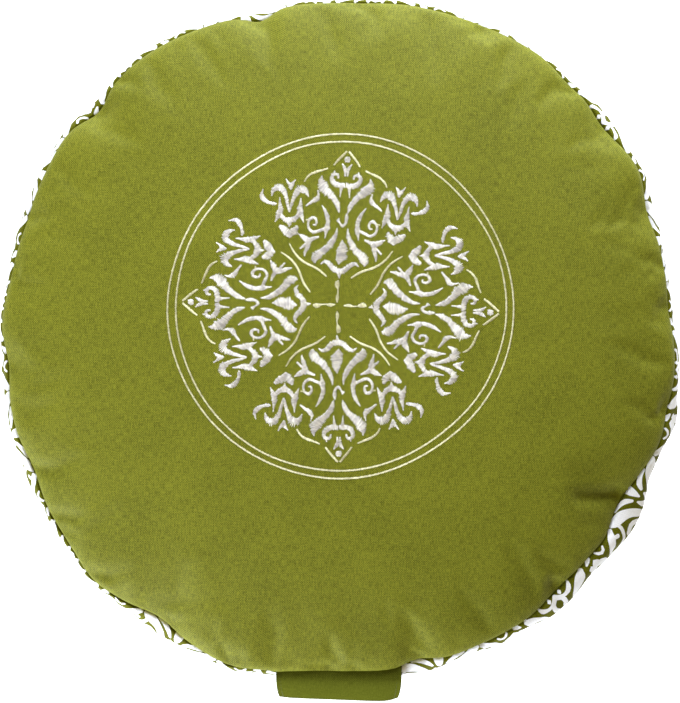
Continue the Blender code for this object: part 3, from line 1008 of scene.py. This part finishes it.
def way_tables():
    """The way of each step down the flat band, column by column round the cushion."""
    angles = np.arange(BAND_COLUMNS + 1) * 360 / BAND_COLUMNS
    ways = TOP_WAY + BAND_STEPS[:, None] * MM
    lengths = np.linalg.norm(np.diff(cover(ways, angles[None, :]), axis=0), axis=-1) / MM
    travelled = np.concatenate([np.zeros((1, len(angles))), np.cumsum(lengths, axis=0)])
    spare = travelled[-1] - BAND_TALL
    share = BAND_STEPS / BAND_TALL
    wanted = BAND_STEPS[:, None] + spare[None, :] * eased(share)[:, None]
    found = [np.interp(wanted[:, k], travelled[:, k], ways[:, 0]) for k in range(len(angles))]
    return np.array(found)


def band_way(angle, down):
    """Where on the cover a point of the flat band lies, from its angle and its millimetres down."""
    place = angle % 360 / 360 * BAND_COLUMNS
    column = np.minimum(place.astype(int), BAND_COLUMNS - 1)
    step = np.interp(down, BAND_STEPS, np.arange(len(BAND_STEPS)))
    row = np.minimum(step.astype(int), len(BAND_STEPS) - 2)
    left, right = WAY_TABLES[column], WAY_TABLES[column + 1]
    pick = np.arange(len(row))
    low = left[pick, row] + (right[pick, row] - left[pick, row]) * (place - column)
    high = left[pick, row + 1] + (right[pick, row + 1] - left[pick, row + 1]) * (place - column)
    return low + (high - low) * (step - row)


WAY_TABLES = way_tables()
lean = np.ptp(WAY_TABLES, axis=0).max() / MM
print("the way to one and the same thread differs by up to", round(float(lean), 1), "mm round the band")

# %% Build the band
PRINT_TURN = 309.8  # degrees round to the first mirror line
LID_DEPTH = 2.2 * MM
LID_WAYS = (8 * MM, 22 * MM, 50 * MM, 95 * MM, 135 * MM)  # rows of a lid, from the seam inwards
RIM_NEAR = 0.01

PRINT_WHITE = printed_cotton("pigment_print_on_cotton", "#DFE2EA", "#F4F6FF")
# The print's ground is the same green cotton, drawn darker than the plain cotton: painted shade, for the
# shade that the green between the white shapes lies in.
PRINT_GROUND_PAINTED_SHADE = woven_cotton("printed_cloth_ground_painted_shade", "#464904", "#64660A", bump=0.5, roughness=0.8, gloss=0.1)


def make_band():
    """The printed band, with a lid over the filling behind each panel."""
    flat, faces, printed = whole_print()
    angle = PRINT_TURN + flat[:, 0] / BAND_ROUND * 360
    way = band_way(angle, flat[:, 1])
    from_seam = np.minimum(flat[:, 1], BAND_TALL - flat[:, 1]) * MM
    points = [turned_in(cover(way, angle), facing(way, angle), from_seam)]
    all_faces = [tuple(face) for face in faces.tolist()]
    uv = [flat]
    for edge, towards in ((0, -1), (BAND_TALL, 1)):
        rim = np.flatnonzero(np.abs(flat[:, 1] - edge) < RIM_NEAR)
        rim = rim[np.argsort(flat[rim, 0])]
        last = rim
        rim_way = TOP_WAY + edge * MM
        middle_way = 0 if towards < 0 else END_WAY
        rows = [(rim_way, ALLOWANCE)] + [(rim_way + towards * step, LID_DEPTH) for step in LID_WAYS]
        for row_way, depth in rows:
            at = cover(row_way, angle[rim]) - facing(row_way, angle[rim]) * depth
            first = sum(len(part) for part in points)
            new = first + np.arange(len(rim))
            points.append(at)
            uv.append(np.stack([flat[rim, 0], np.full(len(rim), edge + towards * depth / MM)], axis=-1))
            quads = np.stack([last, new, np.roll(new, -1), np.roll(last, -1)], axis=-1)
            all_faces += [tuple(q[::-towards]) for q in quads.tolist()]
            last = new
        centre = sum(len(part) for part in points)
        points.append((cover(middle_way, 0) + (0, 0, towards * LID_DEPTH))[None])
        uv.append([[0, edge]])
        fan = np.stack([last, np.full(len(last), centre), np.roll(last, -1)], axis=-1)
        all_faces += [tuple(f[::-towards]) for f in fan.tolist()]
    band = new_object("printed_band", np.concatenate(points), all_faces)
    lay_uv(band, np.concatenate(uv) * MM)
    band.data.materials.append(PRINT_GROUND_PAINTED_SHADE)
    band.data.materials.append(PRINT_WHITE)
    slots = np.zeros(len(all_faces), np.int32)
    slots[: len(printed)] = printed
    band.data.polygons.foreach_set("material_index", slots)
    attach(band, "root")
    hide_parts("side_band")
    print("band:", len(all_faces), "faces, printed share", round(printed.mean(), 2))


make_band()

# %% [markdown]
# ## The carrying strap
#
# The strap is a length of the green cotton, folded in from both long edges and then in half, so it is four
# layers thick, and stitched flat along both sides. Its ends are sewn into the two seams. It comes out of the
# top seam, bends over and hangs in a shallow bow to the bottom seam, far enough out for four fingers.
#
# The strap is swept along that path. Its section is a flat loop, and each long edge has two small folds with
# a groove between them. The stitching draws the layers together, so a shallow furrow follows it.

# %% The strap's path and section
STRAP_WIDTH = 57.4 * MM
STRAP_END = 59.2 * MM  # where it enters a seam and lies flat
STRAP_SHIFT = 0.6 * MM  # sewn on a little to the right
STRAP_THICKNESS = 2.4 * MM
STRAP_REACH = 10.7 * MM
STRAP_CURLS = (0.4 * MM, 1.9 * MM)  # how far its left and right edges curl back
CURL_POWER = 8
STRAP_CLEAR = 0.6 * MM
STRAP_SLANT = 0.8 * MM  # its right-hand side, seen from the top, stands a little further out
STITCH_INSET = 1.6 * MM
FURROW = 0.28 * MM
FURROW_REACH = 1.2 * MM
PRESSED_REACH = 7 * MM  # near a seam the machine's foot has pressed the strap to half its thickness
TUCK_IN = 3 * MM  # how far its ends go inside
TUCK_DROP = 0.7 * MM
ENTRY_DROP = 0.2 * MM
BEHIND_ANGLE = 9  # half the angle that the strap takes up round the band
BEHIND_COLUMNS = 13
PATH_SMOOTHINGS = 3
STRAP_ROWS = 60
STRAP_COLUMNS = 26
FOLD_STEPS = 4


def strap_path():
    """Distance out, height and bow along the strap's middle line, from seam to seam, and the way along it."""
    way = np.linspace(TOP_WAY, BOTTOM_WAY, STRAP_ROWS + 2)[1:-1]
    angles = np.linspace(HANDLE_SIDE - BEHIND_ANGLE, HANDLE_SIDE + BEHIND_ANGLE, BEHIND_COLUMNS)
    behind = cover(way[:, None], angles[None, :])
    face = facing(way, HANDLE_SIDE)
    height = behind[:, BEHIND_COLUMNS // 2, 2]
    along = 2 * (height - height[-1]) / (height[0] - height[-1]) - 1
    bow = 1 - np.abs(along) ** BELLY_POWER
    off = STRAP_CLEAR + STRAP_THICKNESS / 2
    out = -behind[..., 1].min(axis=1) - off * face[:, 1] + STRAP_REACH * bow
    seam_out = -cover(TOP_WAY, HANDLE_SIDE)[1]
    foot_out = -cover(BOTTOM_WAY, HANDLE_SIDE)[1]
    head = [(seam_out - TUCK_IN, TOP_SEAM - TUCK_DROP), (seam_out, TOP_SEAM - ENTRY_DROP)]
    foot = [(foot_out, BOTTOM_SEAM + ENTRY_DROP), (foot_out - TUCK_IN, BOTTOM_SEAM + TUCK_DROP)]
    path = np.vstack([head, np.stack([out, height + off * face[:, 2]], axis=-1), foot])
    bows = np.concatenate([[0, 0], bow, [0, 0]])
    travelled = lengths_along(path)
    places = np.linspace(0, travelled[-1], STRAP_ROWS * 2)
    even = read_along(places, travelled, (*path.T, bows))
    for _ in range(PATH_SMOOTHINGS):
        even[1:-1] = (even[:-2] + 2 * even[1:-1] + even[2:]) / 4
    return even, places


def strap_section():
    """The strap's section: where each point lies across and through it, from -1 to 1, and on which fold."""
    across = np.linspace(-1, 1, STRAP_COLUMNS)
    turns = np.linspace(math.pi / 2, -math.pi / 2, FOLD_STEPS * 2 + 1)[1:-1]
    loop = [(a, 1, 0) for a in across]
    for middle in (0.5, -0.5):
        loop += [(1, middle + math.sin(turn) / 2, math.cos(turn)) for turn in turns]
    loop += [(a, -1, 0) for a in across[::-1]]
    for middle in (-0.5, 0.5):
        loop += [(-1, middle - math.sin(turn) / 2, math.cos(turn)) for turn in turns]
    return np.array(loop)


# %% Sweep the strap
def strap_surface():
    """Points of the strap, and where each of them lay on the flat cloth."""
    path, travelled = strap_path()
    out, height, bow = path.T
    normal = sideways(path)
    normal *= np.sign(normal[len(normal) // 2, 0])
    from_end = np.minimum(travelled, travelled[-1] - travelled)
    pressed = 0.5 + 0.5 * np.clip(from_end / PRESSED_REACH, 0, 1)
    half = (STRAP_END + (STRAP_WIDTH - STRAP_END) * bow) / 2
    across, through, bulge = strap_section().T
    side = across[None, :] * (half - STRAP_THICKNESS / 4)[:, None]
    side = side + np.sign(across) * bulge * STRAP_THICKNESS / 4
    from_stitch = np.abs(np.abs(side) - (half[:, None] - STITCH_INSET))
    furrow = FURROW * nearness(from_stitch, FURROW_REACH) * (bulge == 0)
    lift = through[None, :] * (STRAP_THICKNESS / 2 * pressed[:, None] - furrow)
    curled = np.where(across < 0, *STRAP_CURLS) * np.abs(across) ** CURL_POWER
    lift = lift - curled[None, :] * bow[:, None]
    lift = lift + STRAP_SLANT * across[None, :] * bow[:, None]
    x = side + STRAP_SHIFT
    y = -(out[:, None] + lift * normal[:, :1])
    z = height[:, None] + lift * normal[:, 1:]
    flat = np.stack([side, np.broadcast_to(travelled[:, None], side.shape)], axis=-1)
    return np.stack([x, y, z], axis=-1), flat


# The strap is the same green cotton, drawn darker than the plain cotton: painted shade, for the shade on the
# strap, which faces down and out.
STRAP_COTTON_PAINTED_SHADE = woven_cotton("folded_strap_cotton_painted_shade", "#393D0D", "#505419", bump=0.4, roughness=0.8, gloss=0)


def make_strap():
    """The strap, its points, and where they lay on the flat cloth."""
    points, flat = strap_surface()
    rows, columns = points.shape[:2]
    faces = [tuple(face) for face in ring_faces(rows, columns).tolist()]
    faces.append(tuple(range(columns)))
    faces.append(tuple(range(rows * columns - 1, (rows - 1) * columns - 1, -1)))
    strap = new_object("carrying_strap", points.reshape(-1, 3), faces)
    lay_uv(strap, flat.reshape(-1, 2))
    strap.data.materials.append(STRAP_COTTON_PAINTED_SHADE)
    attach(strap, "root")
    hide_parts("handle")
    print("strap:", len(faces), "faces,", round(flat[-1, 0, 1] / MM), "mm long")
    return strap, points, flat


carrying_strap, strap_points, strap_flat = make_strap()

# %% [markdown]
# ## Thread
#
# Embroidery and topstitching are real threads that lie on the cloth. Each stitch is built as a low ridge with
# a roof-shaped section. It dips into the cloth at both ends, where the needle went through. All the
# stitches of one thread colour are joined in one mesh, made from arrays, because there are thousands of them.
#
# The medallion's thread is shiny rayon, wound from fine filaments. A satin of such threads is bright where it
# faces the lamp and grey where it turns away, and no two stitches are quite the same. Besides each stitch's
# own tone, soft grey patches are painted into the thread's colour: painted shade, for threads that turn from
# the light.

# %% Stitches
stitch_chance = np.random.default_rng(8)
STITCH_ROWS = np.array([0, 0.22, 0.78, 1])
STITCH_LIFTS = np.array([-0.4, 1, 1, -0.4])
STITCH_SPREADS = np.array([0.55, 1, 1, 0.55])
ROOF = 3  # points across a stitch: its foot, its ridge and its other foot
SHORTEST_STITCH = 0.01 * MM
# The thread's colour gets soft grey patches: painted shade of threads that turn from the light.
SHADE_PATCH_SCALE = 420  # patches of tone about 2 mm wide


def stitches(starts, ends, normals, width, lift):
    """Points and faces of one ridge of thread from each start to its end."""
    count = len(starts)
    lengths = np.maximum(np.linalg.norm(ends - starts, axis=1, keepdims=True), SHORTEST_STITCH)
    across = np.cross(ends - starts, normals) / lengths
    lifts = lift * stitch_chance.uniform(0.8, 1.2, (count, 1, 1)) * STITCH_LIFTS[None, :, None]
    spine = starts[:, None] + (ends - starts)[:, None] * STITCH_ROWS[None, :, None]
    spread = across[:, None] * STITCH_SPREADS[None, :, None] * width / 2
    low = spine - normals[:, None] * lift * 0.5
    points = np.stack([low - spread, spine + normals[:, None] * lifts, low + spread], axis=2)
    first = np.arange(count)[:, None, None] * len(STITCH_ROWS) * ROOF
    rows = np.arange(len(STITCH_ROWS) - 1)[None, :, None] * ROOF
    sides = np.arange(ROOF - 1)[None, None, :]
    corner = first + rows + sides
    faces = np.stack([corner, corner + 1, corner + ROOF + 1, corner + ROOF], axis=-1).reshape(-1, 4)
    return points.reshape(-1, 3), faces


def thread_material(name, shade, light, roughness, gloss=0.5):
    """Rayon or cotton thread. Each stitch is an island of the mesh and gets its own tone, and soft grey
    patches are painted over the stitches as shade.
    """
    material, tree, shader = new_material(name)
    own = add(tree, "NewGeometry", out="Random Per Island")
    place = add(tree, "TexCoord", out="Object")
    # Grey patches about 2 mm wide, painted shade of threads that turn from the light.
    shade_patch = add(tree, "TexNoise", {"Vector": place, "Scale": SHADE_PATCH_SCALE, "Detail": 2})
    tone = shade_of(tree, [(own, 0.4), (shade_patch, 1)])
    coloured(tree, shader, tone, shade, light)
    roughened(tree, shader, own, roughness - 0.08, roughness + 0.08)
    set_inputs(shader, {"Specular IOR Level": gloss, "Sheen Weight": gloss / 5})
    return material


SATIN_THREAD = thread_material("white_rayon_thread", "#C4C0C0", "#FBF8F1", 0.42)
LINE_THREAD = thread_material("cream_rayon_thread", "#C6C29A", "#F0EDC6", 0.42)
SEWING_THREAD = thread_material("green_sewing_thread", "#2C3008", "#454A12", 0.7, gloss=0.1)

# %% Topstitching of the strap
TOPSTITCH_LENGTH = 2.3 * MM
TOPSTITCH_GAP = 0.7 * MM
TOPSTITCH_WIDTH = 0.5 * MM
TOPSTITCH_LIFT = 0.2 * MM
TOPSTITCH_MARGIN = 4 * MM  # left at both ends of the strap
AWAY = (0, -1, 0.2)  # roughly away from the cushion, at the strap


def strap_line(side):
    """Points along the strap's outer face at the stitching of one side, with the way along."""
    half = np.abs(strap_flat[:, STRAP_COLUMNS - 1, 0]) - STITCH_INSET
    face = strap_points[:, :STRAP_COLUMNS]
    places = strap_flat[:, :STRAP_COLUMNS, 0]
    line = [
        [np.interp(side * half[row], places[row], face[row, :, axis]) for axis in range(3)]
        for row in range(len(face))
    ]
    return np.array(line), strap_flat[:, 0, 1]


def topstitch():
    """Both rows of stitches down the strap."""
    starts, ends = [], []
    for side in (-1, 1):
        line, travelled = strap_line(side)
        pitch = TOPSTITCH_LENGTH + TOPSTITCH_GAP
        places = np.arange(TOPSTITCH_MARGIN, travelled[-1] - TOPSTITCH_MARGIN - pitch, pitch)
        for found, shift in ((starts, 0), (ends, TOPSTITCH_LENGTH)):
            found.append(read_along(places + shift, travelled, line.T))
    starts, ends = np.concatenate(starts), np.concatenate(ends)
    outwards = np.cross(ends - starts, (1, 0, 0))
    outwards /= np.linalg.norm(outwards, axis=1, keepdims=True)
    outwards *= np.sign((outwards * AWAY).sum(axis=1, keepdims=True))
    points, faces = stitches(starts, ends, outwards, TOPSTITCH_WIDTH, TOPSTITCH_LIFT)
    seam = new_object("strap_topstitching", points, faces)
    seam.data.materials.append(SEWING_THREAD)
    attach(seam, "root")
    print("topstitching:", len(starts), "stitches")
    return seam


strap_topstitching = topstitch()

# %% [markdown]
# ## The medallion
#
# The embroidery is an old kind of ornament: two rings, and in them a palmette four times round a small cross.
# It was charted in millimetres for half a palmette: u runs outwards from the cross and v sideways,
# and each point has its width. The other half is its mirror image. The four palmettes don't lie quite
# square to each other on the real cushion, since the cloth gave in the embroidery hoop.

# %% Half a palmette
HALF_PALMETTE = {
    "arch_tip": [(73, 0.6, 1), (70, 3.2, 1.2), (68.2, 4.7, 1.1), (66.3, 6, 0.8)],
    "arch_side": [
        (64.4, 9, 0.8), (63.3, 11.6, 1), (62.5, 13.8, 1.3), (61.3, 16.3, 1.1), (59.5, 18.2, 1),
        (57.6, 19.2, 0.7),
    ],
    "finial_arm": [(61.5, 0.6, 0.8), (64, 0.6, 1.6), (65.6, 1.2, 1.6), (67, 2.2, 0.5)],
    "finial_dot": [(68.2, 0.5, 1.4), (69.4, 0.5, 2), (70.4, 0.5, 1)],
    "crown_scroll": [
        (57, 0.4, 2.4), (56.8, 3, 2.6), (57.8, 5.6, 2.6), (60, 6.8, 2), (62, 6, 1.6), (61.8, 4, 1.4),
        (60.2, 3.6, 0.9),
    ],
    "scroll_thorn": [(61.4, 5.8, 1.4), (63.4, 5.6, 0.5)],
    "crown_spur": [(56.8, 1.8, 2.2), (54.2, 2, 1.2), (51.5, 2.2, 0.3)],
    "upper_blade": [
        (60.6, 11.4, 0.4), (58.3, 11.5, 3), (56, 10.7, 5.4), (53.6, 8.4, 4.2), (51.6, 6.1, 3),
        (49.4, 4.2, 2.7), (46.8, 2.8, 2.3), (44.2, 2.1, 0.6),
    ],
    "twig": [(53.7, 12.8, 0.4), (51.6, 12.3, 1.4), (49.6, 13, 2.6), (48.2, 15.1, 1.6), (46.2, 17.6, 0.9)],
    "left_petal": [
        (42.8, 25.2, 0.8), (46.1, 24.6, 1.5), (49.4, 23.6, 2), (52.2, 22.4, 3), (54, 20.7, 4.4),
        (53.2, 18.4, 2.8), (50.6, 16.9, 0.5),
    ],
    "right_petal": [
        (43, 25.4, 0.8), (46.3, 26.4, 1.5), (50, 27.4, 2), (53.2, 29.2, 3.1), (54, 31.5, 3.6),
        (52.3, 33.4, 2.2), (49.8, 34, 0.5),
    ],
    "bud_left": [(53.8, 25.3, 1.4), (56, 24.9, 1.8), (57.8, 23.6, 0.4)],
    "bud_right": [(53.4, 25.3, 0.8), (55.3, 25.8, 2.2), (56.5, 26.9, 1.2), (58, 27.9, 0.4)],
    "left_sepal": [
        (49.4, 20.4, 0.4), (46.7, 20.3, 1.7), (44, 20.5, 3.2), (41.4, 19.5, 2.4), (38.4, 18.3, 0.4),
    ],
    "right_sepal": [
        (49, 30.2, 0.4), (46.2, 29.9, 1.4), (43.4, 29.5, 2.8), (40.8, 30.2, 2.4), (37.8, 31.4, 0.4),
    ],
    "sepal_cup": [
        (42.4, 20.4, 2), (39.8, 22.4, 2.3), (38.6, 24.8, 3.2), (39.4, 27.4, 2.3), (41.3, 29.5, 2),
    ],
    "sepal_point": [(38.6, 24.8, 2.8), (37, 24.8, 1.6), (35.8, 24.8, 0.4)],
    "heart_left": [(36.4, 21.4, 1.4), (34.7, 21.8, 3.2), (33, 23.2, 3.6), (30.8, 24.3, 0.8)],
    "heart_right": [(35.8, 29.3, 1.4), (34.6, 27.6, 3.2), (33.2, 25.6, 3.8), (30.8, 24.3, 0.8)],
    "side_leaf": [
        (52.4, 38.4, 0.4), (49.4, 38.8, 2), (47.4, 37.2, 2.4), (46.4, 34.8, 1.5), (46, 32.6, 1.7),
        (46.2, 31.6, 0.4),
    ],
    "cusp": [
        (46.8, 10.2, 0.5), (44.2, 8.5, 1.6), (41.4, 7.3, 2.1), (38.8, 6.9, 2), (36.3, 7.2, 2.8),
        (34, 7.5, 1.4), (31.8, 7.8, 0.4),
    ],
    "curl": [
        (36, 8.1, 1.6), (35.1, 10.4, 1.5), (34, 13.2, 1.5), (35.4, 15.4, 1.4), (38, 16.1, 1.2),
        (40.2, 15.3, 1.4), (40.9, 13.5, 1.6), (39.4, 12.3, 1.3), (37.5, 12.6, 1.1), (37.5, 13.7, 0.8),
    ],
    "tie": [(39.8, 15.4, 0.5), (39.6, 17.2, 0.5)],
    "trefoil_left": [(32, 10.8, 1), (31.2, 12.9, 1.7), (30, 15.1, 2.7)],
    "trefoil_right": [(32.6, 20.1, 0.4), (31.4, 17.8, 2.5), (30, 15.4, 3.1)],
    "trefoil_stem": [(29.8, 15.3, 3.1), (27, 15.6, 2.3), (24.8, 16.4, 1.6), (22.7, 16.7, 0.7)],
    "trefoil_twig": [(28.6, 15.9, 1.4), (27.4, 17.4, 1.3), (26, 18.9, 0.9)],
    "lower_blade": [
        (36.6, 2.5, 0.5), (33.4, 2.9, 1.9), (30.1, 4.5, 2.8), (26.8, 6.9, 3.2), (24.8, 9.4, 3.8),
        (22.9, 11.2, 4.6), (21, 11.8, 2.8), (19.9, 11.4, 0.6),
    ],
    "crescent": [(16.6, 0, 3), (17.4, 2.4, 2.7), (19.6, 4.6, 2.4), (20.7, 6.9, 1.7), (19.6, 8.7, 0.6)],
    "outer_line": [
        (27.7, 24, 0.6), (24.3, 21.8, 1), (21.6, 19.2, 1.1), (19.5, 16, 1.1), (18.1, 12.6, 1.1),
        (16.6, 9.4, 1.1), (14, 5.9, 0.8),
    ],
}

# %% What lies on the palmette's own axis
ON_AXIS = {
    "bud": [
        (31.2, 0.3, 0.4), (29.4, 0.4, 2.8), (27.4, 0.5, 4.8), (25, 0.4, 5.6), (22.6, 0, 5),
        (20, -0.5, 0.6),
    ],
    "chevron": [
        (43.6, 1.4, 0.8), (41.6, 1.6, 1.8), (39.4, 1.4, 1.3), (37.8, -0.2, 1.6), (39.4, -1.4, 0.8),
        (40.8, -2.4, 2),
    ],
    "stalk": [(15, 0.1, 1.6), (13.6, 0.3, 0.6)],
    "cross_bead": [(12.2, -0.1, 0.8), (11.2, -0.6, 2.2), (9.6, -0.3, 2), (8.4, 0, 0.7)],
    "cross_line": [(8.8, 0, 0.6), (6.2, 0.2, 0.5)],
    "cross_dot": [(6, 0.1, 0.7), (4.6, -0.1, 1.7), (3, 0, 1.2), (2.2, 0.1, 0.5)],
}
print("strokes:", len(HALF_PALMETTE), "in half a palmette and", len(ON_AXIS), "on its axis")

# %% Where the palmettes and the rings lie
Palmette = namedtuple("Palmette", "direction tilt shift reach")
PALMETTES = [Palmette(*row) for row in (
    (90, 3.6, -1.35, 1), (0, 2, -0.75, 1.015), (270, -1.2, 1.1, 0.985), (180, 0.6, 0.95, 1),
)]
CROSS_CENTRE = np.array([-0.9, 12.4])
RING_CENTRE = np.array([-0.25, 13.35])
RING_RADII = (80.9, 77.3)
RING_FLATS = uneven(
    (40, 30, -1.5), (90, 20, -0.5), (130, 26, -1.9), (165, 15, -0.6), (306, 22, -1.6),
)
RING_WIDTH = 0.84
RING_POINTS = 240
RING_WOBBLE = 0.1
RING_WAVES = (3, 5, 8, 13)  # how many times each of them goes up and down round the ring
THIN_LINES = {"arch_tip", "arch_side", "outer_line", "tie", "cross_line", "cross_dot", "cross_bead"}

SATIN_SPACING = 0.42
SATIN_WIDTH = 0.6 * MM
LEAST_SATIN = 0.7  # a narrower stroke is still one thread wide
FULLER = 1.12  # the thread swells over its chart lines
SATIN_LIFT = 0.34 * MM
SATIN_SLANT = 0.22  # how far the needle moves on for each millimetre across
RAGGED = 0.12  # how unequal the stitches are, as a share of their length
RING_SPACING = 0.6
RING_SLANT = 1.1


def placed(points, palmette):
    """Carries chart points to the cushion, in millimetres from its axis."""
    tilt = math.radians(palmette.tilt)
    u = points[:, 0] * math.cos(tilt) - points[:, 1] * math.sin(tilt)
    v = points[:, 1] * math.cos(tilt) + points[:, 0] * math.sin(tilt) + palmette.shift
    u = u * palmette.reach
    turn = math.radians(palmette.direction)
    x = u * math.cos(turn) + v * math.sin(turn)
    y = u * math.sin(turn) - v * math.cos(turn)
    return np.stack([x, y], axis=-1) + CROSS_CENTRE


def satin(curve, spacing, slant):
    """Starts and ends of the stitches that fill a stroke."""
    curve = spaced(curve, spacing)
    side = sideways(curve)
    ahead = np.stack([side[:, 1], -side[:, 0]], axis=-1)
    half = np.maximum(curve[:, 2:] * FULLER, LEAST_SATIN) / 2
    ragged = stitch_chance.normal(1, RAGGED, (2, len(curve), 1))
    step = (side + ahead * slant) * half
    return curve[:, :2] + step * ragged[0], curve[:, :2] - step * ragged[1]


def on_crown(flat):
    """Points of the top panel above places given in millimetres, and the way it faces there."""
    radius = np.hypot(flat[:, 0], flat[:, 1]) * MM
    way = np.interp(radius, LINE_RADIUS[:LINE_POINTS], LINE_WAY[:LINE_POINTS])
    angle = np.degrees(np.arctan2(flat[:, 1], flat[:, 0]))
    return cover(way, angle), facing(way, angle)


# %% Embroider
def embroider(name, parts, material):
    """One piece from all the stitches of one thread."""
    starts = np.concatenate([part[0] for part in parts])
    ends = np.concatenate([part[1] for part in parts])
    start_points, normals = on_crown(starts)
    end_points, _ = on_crown(ends)
    points, faces = stitches(start_points, end_points, normals, SATIN_WIDTH, SATIN_LIFT)
    piece = new_object(name, points, faces)
    piece.data.materials.append(material)
    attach(piece, "root")
    print(name + ":", len(starts), "stitches")
    return piece


def palmette_stitches():
    """Starts and ends of the satin fills and of the thin lines of all four palmettes."""
    fills, lines = [], []
    for palmette in PALMETTES:
        for table, sides in ((HALF_PALMETTE, (1, -1)), (ON_AXIS, (1,))):
            for name, stroke in table.items():
                for side in sides:
                    curve = smooth(stroke) * (1, side, 1)
                    starts, ends = satin(curve, SATIN_SPACING, SATIN_SLANT)
                    made = placed(starts, palmette), placed(ends, palmette)
                    (lines if name in THIN_LINES else fills).append(made)
    return fills, lines


def ring_stitches():
    """Slanting stitches that follow both rings, which waver a little as they were sewn."""
    parts = []
    for radius in RING_RADII:
        turn = np.linspace(0, 2 * math.pi, RING_POINTS, endpoint=False)
        waver = sum(
            stitch_chance.normal(0, RING_WOBBLE) * np.sin(turn * wave + stitch_chance.uniform(0, 6))
            for wave in RING_WAVES
        )
        ring = radius + waver + push_of(RING_FLATS, np.degrees(turn)) / MM
        width = np.full(RING_POINTS, RING_WIDTH)
        curve = np.stack([ring * np.cos(turn), ring * np.sin(turn), width], axis=-1)
        starts, ends = satin(np.vstack([curve, curve[:1]]), RING_SPACING, RING_SLANT)
        parts.append((starts + RING_CENTRE, ends + RING_CENTRE))
    return parts


satin_parts, line_parts = palmette_stitches()
palmettes = embroider("embroidered_palmettes", satin_parts, SATIN_THREAD)
outlines = embroider("embroidered_lines", line_parts + ring_stitches(), LINE_THREAD)
